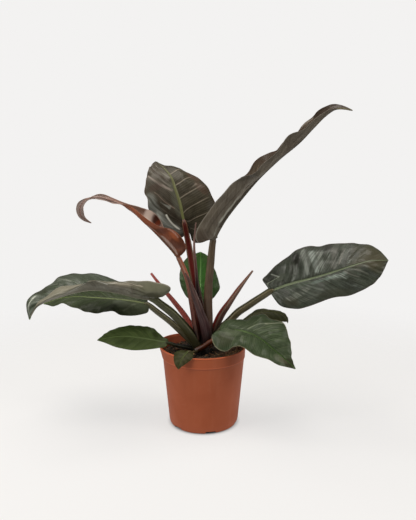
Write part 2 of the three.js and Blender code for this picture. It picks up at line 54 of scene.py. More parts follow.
logging.basicConfig(level=logging.INFO, format="%(message)s")
log = logging.getLogger("plant")


class Slot(Enum):
    """The record's material slots."""

    POT = "pot_plastic"
    SOIL = "soil"
    CROWN = "crown"
    BRONZE_LEAF = "bronze_leaf"
    GREEN_LEAF = "green_leaf"
    BRIGHT_LEAF = "bright_leaf"
    ORANGE_LEAF = "orange_leaf"
    OLIVE_STALK = "olive_stalk"
    RED_STALK = "red_stalk"
    RUST_STALK = "rust_stalk"
    PINK_STALK = "pink_stalk"
    PURPLE_STALK = "purple_stalk"


class MapName(Enum):
    """A mesh's two maps: shares of a piece's length and breadth, and the same in metres."""

    SHARE = "Share"
    SPAN = "Span"


def linear(colour: Colour) -> tuple[float, float, float, float]:
    """Turns an sRGB colour into the linear one that a shader takes.

    Args:
        colour: red, green and blue from 0 to 255.

    Returns:
        Red, green, blue and alpha from 0 to 1.
    """
    red, green, blue = (
        c / 12.92 if c <= 0.04045 else ((c + 0.055) / 1.055) ** 2.4
        for c in (channel / 255 for channel in colour)
    )
    return red, green, blue, 1.0


class Socket:
    """A shader node's output, which Python expressions turn into Math nodes."""

    def __init__(self, sheet: "NodeSheet", link: bpy.types.NodeSocket) -> None:
        """Wraps an output of the sheet's node tree."""
        self.sheet = sheet
        self.link = link

    def _math(self, operation: str, *values: Value) -> "Socket":
        """Adds a Math node with that operation on those values."""
        return self.sheet.node("ShaderNodeMath", {"operation": operation}, dict(enumerate(values)))

    def __add__(self, other: Value) -> "Socket":
        """Adds the other value."""
        return self._math("ADD", self, other)

    def __radd__(self, other: Value) -> "Socket":
        """Adds this to the other value."""
        return self._math("ADD", other, self)

    def __sub__(self, other: Value) -> "Socket":
        """Takes the other value away."""
        return self._math("SUBTRACT", self, other)

    def __rsub__(self, other: Value) -> "Socket":
        """Takes this away from the other value."""
        return self._math("SUBTRACT", other, self)

    def __mul__(self, other: Value) -> "Socket":
        """Multiplies by the other value."""
        return self._math("MULTIPLY", self, other)

    def __rmul__(self, other: Value) -> "Socket":
        """Multiplies the other value by this."""
        return self._math("MULTIPLY", other, self)

    def __pow__(self, other: Value) -> "Socket":
        """Raises this to a power."""
        return self._math("POWER", self, other)

    def held(self) -> "Socket":
        """The value kept between 0 and 1."""
        return self.sheet.node("ShaderNodeClamp", {}, {0: self})

    def size(self) -> "Socket":
        """The value without its sign."""
        return self._math("ABSOLUTE", self)

    def above(self, limit: float) -> "Socket":
        """1 where the value is above the limit, and 0 elsewhere."""
        return self._math("GREATER_THAN", self, limit)

    def part(self) -> "Socket":
        """What is left of the value beyond its whole number."""
        return self._math("FRACT", self)

    def fold(self, top: float) -> "Socket":
        """The value folded to and fro between 0 and top."""
        return self._math("PINGPONG", self, top)

    def sine(self) -> "Socket":
        """The value's sine."""
        return self._math("SINE", self)

    def step(self, low: Value, high: Value) -> "Socket":
        """A smooth step from 0 at low to 1 at high."""
        settings = {"interpolation_type": "SMOOTHSTEP"}
        return self.sheet.node("ShaderNodeMapRange", settings, {0: self, 1: low, 2: high})


def sine(value: Union[Array, Socket]) -> Union[Array, Socket]:
    """The sine of an array or of a socket's value."""
    return value.sine() if isinstance(value, Socket) else np.sin(value)


class NodeSheet:
    """The node tree of one finish or of the world."""

    def __init__(self, owner: Union[bpy.types.Material, bpy.types.World]) -> None:
        """Empties the owner's node tree, ready to be filled."""
        owner.use_nodes = True
        self.owner = owner
        self.tree = owner.node_tree
        self.tree.nodes.clear()

    @classmethod
    def named(cls, name: str) -> "NodeSheet":
        """Starts a new material of that name."""
        return cls(bpy.data.materials.new(name))

    def end(self, shader: Socket, kind: str = "ShaderNodeOutputMaterial") -> None:
        """Ends the sheet with that shader, in an output node of that kind."""
        output = self.tree.nodes.new(kind)
        self.tree.links.new(shader.link, output.inputs["Surface"])

    @staticmethod
    def _pick(sockets: Sequence[bpy.types.NodeSocket], key: Union[int, str]):
        """The socket at a place in the list, or the one with that identifier."""
        if isinstance(key, int):
            return sockets[key]
        return next(socket for socket in sockets if socket.identifier == key)

    def node(
        self,
        kind: str,
        settings: Mapping[str, Any] | None = None,
        sockets: Mapping[Union[int, str], Value] | None = None,
        output: Union[int, str] = 0,
    ) -> Socket:
        """Adds a node.

        Args:
            kind: the node's type.
            settings: its properties; "stops" are a colour ramp's places and colours.
            sockets: what its inputs take, a value or another node's output.
            output: which of its outputs to return.

        Returns:
            That output.
        """
        made = self.tree.nodes.new(kind)
        for key, value in (settings or {}).items():
            if key == "stops":
                ramp = made.color_ramp
                while len(ramp.elements) < len(value):
                    ramp.elements.new(0.5)
                for element, (place, colour) in zip(ramp.elements, value):
                    element.position = place
                    element.color = linear(colour)
            else:
                setattr(made, key, value)
        for key, value in (sockets or {}).items():
            socket = self._pick(made.inputs, key)
            if isinstance(value, Socket):
                self.tree.links.new(value.link, socket)
            else:
                socket.default_value = value
        return Socket(self, self._pick(made.outputs, output))

    def mix(self, mask: Value, first: Value, second: Value) -> Socket:
        """Lays the second colour over the first where the mask is 1."""
        settings = {"data_type": "RGBA"}
        sockets = {"Factor_Float": mask, "A_Color": first, "B_Color": second}
        return self.node("ShaderNodeMix", settings, sockets, "Result_Color")

    def blend(self, mask: Value, first: Socket, second: Socket) -> Socket:
        """The first shader, and the second where the mask is 1."""
        return self.node("ShaderNodeMixShader", {}, {0: mask, 1: first, 2: second})

    def noise(self, place: Socket, scale: float, detail: float = 2.0, warp: float = 0.0) -> Socket:
        """A soft random value from about 0.2 to 0.8 that changes over the place."""
        sockets = {"Vector": place, "Scale": scale, "Detail": detail, "Distortion": warp}
        return self.node("ShaderNodeTexNoise", {}, sockets)

    def map(self, name: MapName) -> Socket:
        """One of the mesh's two maps."""
        return self.node("ShaderNodeUVMap", {"uv_map": name.value})

    def place(self) -> Socket:
        """The place on the piece, in metres."""
        return self.node("ShaderNodeTexCoord", output="Object")

    def parts(self, vector: Socket) -> tuple[Socket, Socket, Socket]:
        """The three parts of a vector."""
        first = self.node("ShaderNodeSeparateXYZ", {}, {0: vector})
        x, y, z = (Socket(self, out) for out in first.link.node.outputs)
        return x, y, z

    def joined(self, x: Value, y: Value, z: Value) -> Socket:
        """A vector of three values."""
        return self.node("ShaderNodeCombineXYZ", {}, {0: x, 1: y, 2: z})

    def stretched(self, vector: Socket, factors: Point) -> Socket:
        """The vector with each of its parts multiplied by a factor."""
        sockets = {0: vector, 1: factors}
        return self.node("ShaderNodeVectorMath", {"operation": "MULTIPLY"}, sockets)

    def surface(
        self,
        colour: Value,
        roughness: Value,
        height: Socket | None = None,
        rise: float = 1.0,
        coat: float = 0.0,
        coat_roughness: float = 0.2,
        level: float = 0.5,
    ) -> bpy.types.Material:
        """Ends the sheet with its surface.

        Args:
            colour: the surface's own colour.
            roughness: how far it scatters what it mirrors.
            height: what stands out of it, from 0 to 1.
            rise: how far a height of 1 stands out, in millimetres.
            coat: the weight of its clear skin.
            coat_roughness: the roughness of that skin.
            level: how strongly it mirrors.

        Returns:
            The material.
        """
        sockets: dict[Union[int, str], Value] = {
            "Base Color": colour,
            "Roughness": roughness,
            "Coat Weight": coat,
            "Coat Roughness": coat_roughness,
            "Specular IOR Level": level,
        }
        if height is not None:
            relief = {"Strength": 1.0, "Distance": rise * MM, "Height": height}
            sockets["Normal"] = self.node("ShaderNodeBump", {}, relief)
        self.end(self.node("ShaderNodeBsdfPrincipled", {}, sockets))
        return self.owner


class Spline:
    """A smooth curve through points, measured along its own length."""

    STEPS = 60

    def __init__(self, points: Sequence[Point]) -> None:
        """Lays the curve and measures it."""
        inner = np.asarray(points, float)
        before, after = 2 * inner[0] - inner[1], 2 * inner[-1] - inner[-2]
        self._points = np.vstack([before, inner, after])
        self._segments = len(inner) - 1
        self._ticks = np.linspace(0, self._segments, self._segments * self.STEPS + 1)
        steps = np.linalg.norm(np.diff(self._evaluate(self._ticks, 0), axis=0), axis=1)
        self._gone = np.concatenate([[0.0], np.cumsum(steps)])
        self.length = float(self._gone[-1])

    def _evaluate(self, ticks: Array, order: int) -> Array:
        """The curve's points (order 0) or its directions (order 1) at those ticks."""
        first = np.minimum(ticks.astype(int), self._segments - 1)
        w = (ticks - first)[:, None]
        a, b, c, d = (self._points[first + i] for i in range(4))
        start, end = (c - a) / 2, (d - b) / 2
        if order:
            return (
                (6 * w * w - 6 * w) * (b - c)
                + (3 * w * w - 4 * w + 1) * start
                + (3 * w * w - 2 * w) * end
            )
        cube, square = w**3, w**2
        return (
            (2 * cube - 3 * square + 1) * b
            + (cube - 2 * square + w) * start
            + (3 * square - 2 * cube) * c
            + (cube - square) * end
        )

    def _ticks_at(self, shares: Array) -> Array:
        """The ticks at those shares of the length."""
        return np.interp(np.clip(shares, 0, 1) * self.length, self._gone, self._ticks)

    def at(self, shares: Array) -> Array:
        """The points at those shares of the length."""
        return self._evaluate(self._ticks_at(shares), 0)

    def along(self, shares: Array) -> Array:
        """The curve's unit directions at those shares of the length."""
        return unit(self._evaluate(self._ticks_at(shares), 1))


def unit(vectors: Array) -> Array:
    """The vectors at length 1."""
    return vectors / np.maximum(np.linalg.norm(vectors, axis=-1, keepdims=True), 1e-12)


def smooth(value: Array, low: float, high: float) -> Array:
    """A smooth step from 0 at low to 1 at high."""
    share = np.clip((value - low) / (high - low), 0, 1)
    return share * share * (3 - 2 * share)


def through(values: Point, share: Array) -> Array:
    """A value that runs through three given ones, at 0, a half and 1."""
    first, middle, last = values
    return (
        first * (2 * share - 1) * (share - 1)
        + middle * 4 * share * (1 - share)
        + last * share * (2 * share - 1)
    )


class Lumps:
    """Seeded unevenness: a sum of long waves that run in random directions."""

    WAVES = 10

    def __init__(self, seed: int, pitch: float, height: float) -> None:
        """Draws the waves.

        Args:
            seed: what the random draws start from.
            pitch: the usual length of a wave.
            height: the usual height of the lumps.
        """
        draw = np.random.default_rng(seed)
        turn = draw.uniform(0, 2 * math.pi, self.WAVES)
        rate = 2 * math.pi / (pitch * draw.uniform(0.7, 1.7, self.WAVES))
        self._rates = np.stack([rate * np.cos(turn), rate * np.sin(turn)])
        self._shifts = draw.uniform(0, 2 * math.pi, self.WAVES)
        self._height = height * math.sqrt(2 / self.WAVES)

    def at(self, x: Array, y: Array) -> Array:
        """The height over each place."""
        angles = x[..., None] * self._rates[0] + y[..., None] * self._rates[1] + self._shifts
        return self._height * np.sin(angles).sum(-1)


class Form:
    """Gathers one piece's points, faces and maps."""

    def __init__(self) -> None:
        """Starts with nothing."""
        self._points: list[Array] = []
        self._faces: list[Array] = []
        self._maps: list[Array] = []
        self._spans: list[Array] = []
        self._kinds: list[Array] = []
        self._count = 0

    def add_points(self, points: Array) -> int:
        """Adds points in millimetres and returns the number of the first."""
        flat = points.reshape(-1, 3)
        self._points.append(flat * MM)
        self._count += len(flat)
        return self._count - len(flat)

    def add_faces(
        self,
        faces: Array,
        maps: Array | None = None,
        spans: Array | None = None,
        kind: int = 0,
    ) -> None:
        """Adds faces of one number of corners.

        Args:
            faces: the corners' point numbers, one row a face.
            maps: each corner's shares of the piece's length and breadth, if a finish needs them.
            spans: the same in millimetres.
            kind: which of the piece's materials they take.
        """
        blank = np.zeros((faces.size, 2))
        self._faces.append(faces)
        self._maps.append(blank if maps is None else maps.reshape(-1, 2))
        self._spans.append(blank if spans is None else spans.reshape(-1, 2) * MM)
        self._kinds.append(np.full(len(faces), kind))

    def add_solid(self, points: Array, faces: Array, kind: int = 0) -> None:
        """Adds points, and faces that count from the first of them."""
        self.add_faces(faces + self.add_points(points), kind=kind)

    def add_tube(self, rings: Array, middles: Array, size: Array | None = None) -> None:
        """Adds a closed tube, with a fan of triangles over each end.

        Args:
            rings: its cross-sections, one row of points each.
            middles: the middle points of the two fans.
            size: its length and girth in millimetres, if a finish needs its maps.
        """
        rows, sides = len(rings) - 1, rings.shape[1]
        start = self.add_points(rings)
        row, k = np.divmod(np.arange(rows * sides), sides)
        lower, upper = start + row * sides, start + (row + 1) * sides
        after = (k + 1) % sides
        places = np.stack([[row, row, row + 1, row + 1], [k, k + 1, k + 1, k]], -1) / [rows, sides]
        self._add_mapped(
            np.stack([lower + k, lower + after, upper + after, upper + k], 1), places, size
        )
        k = np.arange(sides)
        for end, middle in enumerate(middles):
            first = start + end * rows * sides
            centre = np.full(sides, self.add_points(middle))
            fan = np.stack([first + k, first + (k + 1) % sides, centre], 1)
            places = np.stack([np.full((3, sides), float(end)), [k, k + 1, k]], -1)
            places = places / [1, sides]
            turn = 1 if end else -1
            self._add_mapped(fan[:, ::turn], places[::turn], size)

    def _add_mapped(self, faces: Array, places: Array, size: Array | None) -> None:
        """Adds faces of a tube, whose corners lie at those shares of its size."""
        maps = places.swapaxes(0, 1)
        if size is None:
            self.add_faces(faces)
        else:
            self.add_faces(faces, maps, maps * size)

    def finish(
        self,
        name: str,
        materials: Sequence[bpy.types.Material],
        sharp: float = 50.0,
    ) -> bpy.types.Object:
        """Makes the object.

        Args:
            name: the piece's name.
            materials: what its kinds of face are made of.
            sharp: the angle in degrees from which an edge is drawn sharp.

        Returns:
            The new object, linked to the scene.
        """
        mesh = bpy.data.meshes.new(name)
        faces = [face for group in self._faces for face in group.tolist()]
        mesh.from_pydata(np.concatenate(self._points).tolist(), [], faces)
        for which, places in ((MapName.SHARE, self._maps), (MapName.SPAN, self._spans)):
            layer = mesh.uv_layers.new(name=which.value)
            layer.uv.foreach_set("vector", np.concatenate(places).astype(np.float32).ravel())
        kinds = np.concatenate(self._kinds).astype(np.int32)
        mesh.polygons.foreach_set("material_index", kinds)
        mesh.shade_smooth()
        mesh.set_sharp_from_angle(angle=math.radians(sharp))
        for material in materials:
            mesh.materials.append(material)
        made = bpy.data.objects.new(name, mesh)
        bpy.context.scene.collection.objects.link(made)
        return made


def grid(rows: int, columns: int) -> Array:
    """The faces of a grid of points, by the four corners' numbers.

    Args:
        rows: how many faces it has one way.
        columns: how many it has the other way.

    Returns:
        One row of four point numbers a face.
    """
    row, column = np.divmod(np.arange(rows * columns), columns)
    first = row * (columns + 1) + column
    return np.stack([first, first + 1, first + columns + 2, first + columns + 1], 1)


def turned(radius: Array, z: Array, sides: int) -> Array:
    """The points of rings about the upright axis.

    Args:
        radius: how far each point stands out, one row a ring, for all its points or for each.
        z: their heights, in the same rows.
        sides: how many points a ring has.

    Returns:
        One row of points for each ring.
    """
    turn = 2 * math.pi * np.arange(sides) / sides
    return np.stack(np.broadcast_arrays(radius * np.cos(turn), radius * np.sin(turn), z), -1)


def place(piece: bpy.types.Object, slot: Slot, *nodes: str) -> None:
    """Sets a piece on the body and hides the CAD nodes that it stands for."""
    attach(piece, BODY)
    if nodes:
        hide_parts(*nodes)
    log.info("%s: %d faces", piece.name, len(piece.data.polygons))


@dataclass(frozen=True)
class Patch:
    """A soft-edged oval on a skin, in shares of its length and of a half's breadth; some give the
    skin's own colour and some paint highlights and shade.
    """

    along: float
    across: float
    reach: tuple[float, float]
    colour: Colour
    strength: float = 0.6
    worn: float = 0.5


@dataclass(frozen=True)
class Streak:
    """A soft-edged stroke on a skin between two places, each in the shares that Patch uses; some
    give the skin's own colour and some paint highlights, sheen and shade in creases.

    width is half its breadth as a share of the blade's length, taper how much of that it loses
    by its end, and fine how much the skin's fine lines break it up.
    """

    start: tuple[float, float]
    end: tuple[float, float]
    width: float
    colour: Colour
    strength: float = 0.6
    taper: float = 0.3
    fine: float = 0.4


@dataclass(frozen=True)
class Veins:
    """The side veins of a blade.

    count is how many leave each side of the midrib. sweep is how far they lean to the tip by
    the left and right margins, fade how much of that they lose by the tip, and offset where
    the first ones start.
    """

    count: float
    sweep: tuple[float, float] = (0.19, 0.19)
    fade: tuple[float, float] = (0.48, 0.48)
    offset: tuple[float, float] = (0.0, 0.4)
    wander: float = 0.08

    def phase(self, u: Any, t: Any, right: Any) -> Any:
        """Counts the veins up the blade, for arrays and for sockets alike.

        Args:
            u: the share of the midrib's length.
            t: the share of the way from midrib to margin.
            right: 1 on the right half and 0 on the left.

        Returns:
            A value that is whole on every vein.
        """
        sweep, fade, offset = (
            right * (second - first) + first
            for first, second in (self.sweep, self.fade, self.offset)
        )
        lean = t * sweep * (1 - u * fade)
        drift = self.wander * sine(self.count * 1.7 * u + 2.3 * t + 1.9 * right)
        return self.count * (u - lean) + offset + drift


@dataclass(frozen=True)
class Relief:
    """How uneven a blade is, in millimetres: between its veins, in large lumps, at its margin."""

    quilt: float = 0.9
    lumps: float = 1.2
    ripple: float = 0.8
    ripples: float = 9.0
    seed: int = 1


@dataclass(frozen=True)
class SkinPlan:
    """Where a point lies on a blade's skin, and the noises that its looks share.

    u is the share of the midrib's length, across runs from -1 at the left margin to 1 at the
    right, t is its size, right is 1 on the right half, and off is the way from the midrib in
    metres. phase counts the veins, near is how far the nearest one is and cell how far the last.
    inner fades out at midrib and margin. chance differs in each field between two veins, and
    lines are fine ones that run with the veins.
    """

    sheet: NodeSheet
    u: Socket
    across: Socket
    off: Socket
    t: Socket
    right: Socket
    phase: Socket
    near: Socket
    cell: Socket
    inner: Socket
    blotch: Socket
    cloud: Socket
    grain: Socket
    chance: Socket
    lines: Socket

    @classmethod
    def start(cls, name: str, veins: Veins) -> "SkinPlan":
        """Starts a material for a blade's skin.

        Args:
            name: the material's name.
            veins: the blade's side veins.

        Returns:
            Its plan.
        """
        sheet = NodeSheet.named(name)
        u, v, _ = sheet.parts(sheet.map(MapName.SHARE))
        _, off, _ = sheet.parts(sheet.map(MapName.SPAN))
        spot = sheet.place()
        across = v * 2 - 1
        t = across.size()
        right = across.above(0)
        phase = veins.phase(u, t, right)
        cell = phase.part()
        cloud = sheet.noise(spot, 13, 2, 0.6)
        field_number = {"W": phase - cell + right * 40}
        drawn = sheet.joined(phase * 5 + cloud * 1.5 + right * 9, t * 1.2, 0.0)
        return cls(
            sheet, u, across, off, t, right, phase, phase.fold(0.5), cell,
            inner=t.step(0.02, 0.12) * (1 - t.step(0.82, 1.0)),
            blotch=sheet.noise(spot, 34, 4, 0.4),
            cloud=cloud,
            grain=sheet.noise(spot, 420, 3),
            chance=sheet.node(
                "ShaderNodeTexWhiteNoise", {"noise_dimensions": "1D"}, field_number
            ),
            lines=sheet.noise(drawn, 1, 2, 0.2).step(0.38, 0.62),
        )


@dataclass(frozen=True)
class SkinFinish:
    """The look of one skin of a blade, with painted sheen and highlights, and painted shade in the
    vein furrows.
    """

    left: Colour
    right: Colour
    # Darker mottling colour, which the fine dark lines take too, and the vein furrows as painted
    # shade.
    deep: Colour
    # Colour of the painted sheen and painted highlights, which a fine speckle also takes.
    painted_sheen: Colour
    vein: Colour
    rib: tuple[Colour, Colour]
    edge: Colour
    painted_sheen_bands: float = 0.3
    painted_sheen_streaks: float = 0.25
    lines: float = 0.25
    vein_share: float = 0.6
    vein_left: float = 1.0
    vein_width: float = 0.07
    fine_share: float = 0.12
    rib_width: tuple[float, float] = (3.0, 0.9)
    edge_share: float = 0.35
    roughness: float = 0.4
    coat: float = 0.06
    level: float = 0.2
    aspect: float = 0.35
    patches: tuple[Union[Patch, Streak], ...] = ()

    def material(self, name: str, veins: Veins) -> bpy.types.Material:
        """Makes the skin's material.

        Args:
            name: the material's name.
            veins: the blade's side veins.

        Returns:
            The material.
        """
        plan = SkinPlan.start(name, veins)
        # Painted sheen: pale streaks that run with the veins; they also make the skin a little
        # glossier.
        drawn = plan.sheet.joined(plan.phase * 1.6 + plan.right * 9, plan.t * 1.4, 0.0)
        streak = plan.sheet.noise(drawn, 1.6, 4, 0.5).step(0.5, 0.72) * plan.inner
        streak = streak * (0.35 + plan.lines * 0.65)
        fine = 1 - (plan.phase * 6 + plan.blotch * 0.5).fold(0.5).step(0.04, 0.2)
        line = 1 - plan.near.step(self.vein_width * 0.2, self.vein_width)
        line = line * (1 - plan.t.step(0.6, 0.98))
        colour = self._ground(plan, streak)
        colour = self._veined(plan, colour, line, fine)
        # Painted highlights: thin pale lines just beside each vein.
        lit = 1 - (plan.near - self.vein_width * 2).size().step(0.01, 0.06)
        lit = lit * plan.inner * (streak * 0.6 + plan.chance * 0.4)
        colour = plan.sheet.mix(lit * self.painted_sheen_streaks, colour, linear(self.painted_sheen))
        colour = self._ribbed(plan, self._marked(plan, colour))
        roughness = self.roughness + plan.blotch * 0.16 - 0.08 - streak * 0.08
        height = line * 0.5 + fine * 0.12 + plan.grain * 0.2
        return plan.sheet.surface(colour, roughness, height, 0.12, self.coat, 0.16, self.level)

    def _ground(self, plan: SkinPlan, streak: Socket) -> Socket:
        """The skin's own colour and blotches, with painted sheen in bands between the veins and in
        streaks along them, and fine dark lines.
        """
        mix = plan.sheet.mix
        deep, painted_sheen = linear(self.deep), linear(self.painted_sheen)
        colour = mix(plan.right, linear(self.left), linear(self.right))
        colour = mix(plan.blotch.step(0.42, 0.72) * 0.55, colour, deep)
        colour = mix(plan.grain.step(0.35, 0.75) * 0.12, colour, painted_sheen)
        # Painted sheen: pale bands between the veins.
        painted_sheen_bands = plan.cell.step(0.08, 0.4) * (1 - plan.cell.step(0.45, 0.95)) * plan.inner
        painted_sheen_bands = painted_sheen_bands * (0.2 + plan.cloud.step(0.4, 0.62) * 0.8) * (0.25 + plan.chance * 0.9)
        colour = mix(painted_sheen_bands * self.painted_sheen_bands, colour, painted_sheen)
        # Painted sheen along the streaks.
        colour = mix(streak * self.painted_sheen_streaks, colour, painted_sheen)
        return mix((1 - plan.lines) * plan.inner * self.lines, colour, deep)

    def _veined(self, plan: SkinPlan, colour: Socket, line: Socket, fine: Socket) -> Socket:
        """The colour with the veins, painted shade in the furrows that they lie in, and the fine
        veins between.
        """
        mix = plan.sheet.mix
        # Painted shade in the furrows along the veins.
        painted_furrow_shade = (1 - plan.near.step(0, self.vein_width * 3)) * plan.inner
        colour = mix(painted_furrow_shade * 0.35, colour, linear(self.deep))
        colour = mix(fine * plan.inner * self.fine_share, colour, linear(self.vein))
        left = self.vein_share * self.vein_left
        share = plan.right * (self.vein_share - left) + left
        return mix(line * share, colour, linear(self.vein))

    def _marked(self, plan: SkinPlan, colour: Socket) -> Socket:
        """The colour with the patches and streaks laid over it in turn, many of them painted
        highlights, sheen and shade.
        """
        for patch in self.patches:
            mask = self._mask(patch, plan.u, plan.across, plan.blotch) * patch.strength
            if isinstance(patch, Streak):
                mask = mask * (1 - patch.fine + plan.lines * patch.fine)
            colour = plan.sheet.mix(mask, colour, linear(patch.colour))
        return colour

    def _ribbed(self, plan: SkinPlan, colour: Socket) -> Socket:
        """The colour with the blade's edge and its midrib."""
        sheet = plan.sheet
        colour = sheet.mix(plan.t.step(0.95, 1.0) * self.edge_share, colour, linear(self.edge))
        base, tip = self.rib_width
        width = (base + (tip - base) * plan.u) * MM
        rib = 1 - plan.off.size().step(width * 0.7, width * 1.15)
        fibre = sheet.noise(sheet.stretched(sheet.map(MapName.SPAN), (60, 900, 1)), 1, 2)
        inside = sheet.mix(plan.u, linear(self.rib[0]), linear(self.rib[1]))
        inside = sheet.mix(fibre.step(0.45, 0.7) * 0.3, inside, linear(self.deep))
        return sheet.mix(rib, colour, inside)

    def _mask(
        self, patch: Union[Patch, Streak], u: Socket, across: Socket, rough: Socket
    ) -> Socket:
        """1 where a patch or streak lies and 0 elsewhere, with a worn edge."""
        if isinstance(patch, Patch):
            along_reach, across_reach = patch.reach
            du = (u - patch.along) * (1 / along_reach)
            dv = (across - patch.across) * (1 / across_reach)
            away = du * du + dv * dv
            return 1 - (away + (rough - 0.5) * 2 * patch.worn).step(0.15, 1.0)
        run = patch.end[0] - patch.start[0]
        swing = (patch.end[1] - patch.start[1]) * self.aspect
        du = u - patch.start[0]
        dv = (across - patch.start[1]) * self.aspect
        share = ((du * run + dv * swing) * (1 / (run * run + swing * swing))).held()
        du = du - share * run
        dv = dv - share * swing
        away = (du * du + dv * dv) ** 0.5 * (1 / patch.width)
        away = away + share * patch.taper + (rough - 0.5) * 0.8
        return 1 - away.step(0.3, 1.1)


@dataclass(frozen=True)
class RodFinish:
    """The look of a stalk or sheath: colours up its length, its channel and its ridges. Its lowest
    stops run near black as painted shade where the rods crowd into the crown, and its pale ridges
    are partly painted highlight.
    """

    stops: tuple[tuple[float, Colour], ...]
    channel: tuple[tuple[float, Colour], ...]
    ridge: Colour
    streak: Colour
    channel_reach: float = 0.1
    ridge_share: float = 0.5
    streak_share: float = 0.35
    roughness: float = 0.4
    coat: float = 0.1

    def material(self, name: str) -> bpy.types.Material:
        """Makes the rod's material."""
        sheet = NodeSheet.named(name)
        u, turn, _ = sheet.parts(sheet.map(MapName.SHARE))
        span = sheet.map(MapName.SPAN)
        spot = sheet.place()
        blotch = sheet.noise(spot, 55, 3, 0.3)
        fibre = sheet.noise(sheet.stretched(span, (24, 700, 1)), 1, 3)
        speck = sheet.noise(sheet.stretched(span, (420, 1300, 1)), 1, 2)
        body = sheet.node("ShaderNodeValToRGB", {"stops": self.stops}, {0: u})
        hollow = sheet.node("ShaderNodeValToRGB", {"stops": self.channel}, {0: u})
        away = (turn - 0.25).size()
        inside = 1 - away.step(self.channel_reach * 0.75, self.channel_reach * 1.1)
        # Pale ridges along the channel's edges: partly the rod's pale rims, partly painted
        # highlight.
        ridge = 1 - (away - self.channel_reach * 1.25).size().step(0.01, 0.05)
        colour = sheet.mix(blotch.step(0.4, 0.7) * 0.5, body, linear(self.streak))
        # The pale marks fade towards the base, as part of the painted shade there.
        lit = u.step(0.05, 0.6) * 0.75 + 0.25
        fibres = fibre.step(0.45, 0.7) * lit * self.streak_share
        colour = sheet.mix(fibres, colour, linear(self.ridge))
        colour = sheet.mix(ridge * lit * self.ridge_share, colour, linear(self.ridge))
        colour = sheet.mix(inside, colour, hollow)
        colour = sheet.mix(speck.step(0.62, 0.72) * lit * 0.3, colour, linear(self.ridge))
        roughness = self.roughness + blotch * 0.14 - 0.07
        height = fibre * 0.8 + speck * 0.2
        return sheet.surface(colour, roughness, height, 0.25, self.coat, 0.2, 0.3)


@dataclass(frozen=True)
class Rod:
    """A stalk or sheath: its middle line, its breadth and depth at both ends, and its channel.

    taper is above 1 where it narrows late, and groove is how deep its channel is, as a share of
    its half depth.
    """

    points: tuple[Point, ...]
    width: tuple[float, float]
    depth: tuple[float, float]
    channel: Point
    taper: float = 0.75
    groove: float = 0.3
    closing: float = 0.0
    sides: int = 40
    steps: int = 90

    def rings(self, shares: Array, seed: int) -> Array:
        """The points of the cross-sections at those shares of the length.

        Args:
            shares: where along the rod.
            seed: what its slight unevenness is drawn from.

        Returns:
            One ring of points for each share.
        """
        line = Spline(self.points)
        along = line.along(shares)
        towards = np.asarray(self.channel, float)
        normal = unit(towards - along * (along @ towards)[:, None])
        side = np.cross(along, normal)
        ease = np.maximum(shares, 0) ** self.taper
        half_width = (self.width[0] + (self.width[1] - self.width[0]) * ease) / 2
        half_depth = (self.depth[0] + (self.depth[1] - self.depth[0]) * ease) / 2
        closing = 1 - self.closing * smooth(shares, 0.94, 1.0)
        half_width, half_depth = half_width * closing, half_depth * closing
        angle = 2 * math.pi * np.arange(self.sides) / self.sides
        off = np.degrees(angle) - 90
        off = np.abs((off + 180) % 360 - 180)
        sunk = 1 - 1.25 * self.groove * np.exp(-((off / 27) ** 2))
        proud = 1 + 0.1 * np.exp(-(((off - 52) / 15) ** 2))
        bumps = Lumps(seed, 40, 0.02)
        uneven = 1 + bumps.at(shares[:, None] * line.length, 14 * np.cos(angle)[None, :])
        across = half_width[:, None] * np.cos(angle) * proud * uneven
        up = half_depth[:, None] * np.sin(angle) * sunk * proud * uneven
        centre = line.at(shares)
        return (
            centre[:, None, :]
            + side[:, None, :] * across[..., None]
            + normal[:, None, :] * up[..., None]
        )

    def build(self, name: str, material: bpy.types.Material, seed: int) -> bpy.types.Object:
        """Makes the rod's object.

        Args:
            name: the piece's name.
            material: what it is made of.
            seed: what its slight unevenness is drawn from.

        Returns:
            The object.
        """
        rings = self.rings(np.linspace(0, 1, self.steps + 1), seed)
        girth = math.pi * sum(self.width) / 2
        form = Form()
        form.add_tube(rings, rings[[0, -1]].mean(1), np.array([Spline(self.points).length, girth]))
        return form.finish(name, [material], 60)


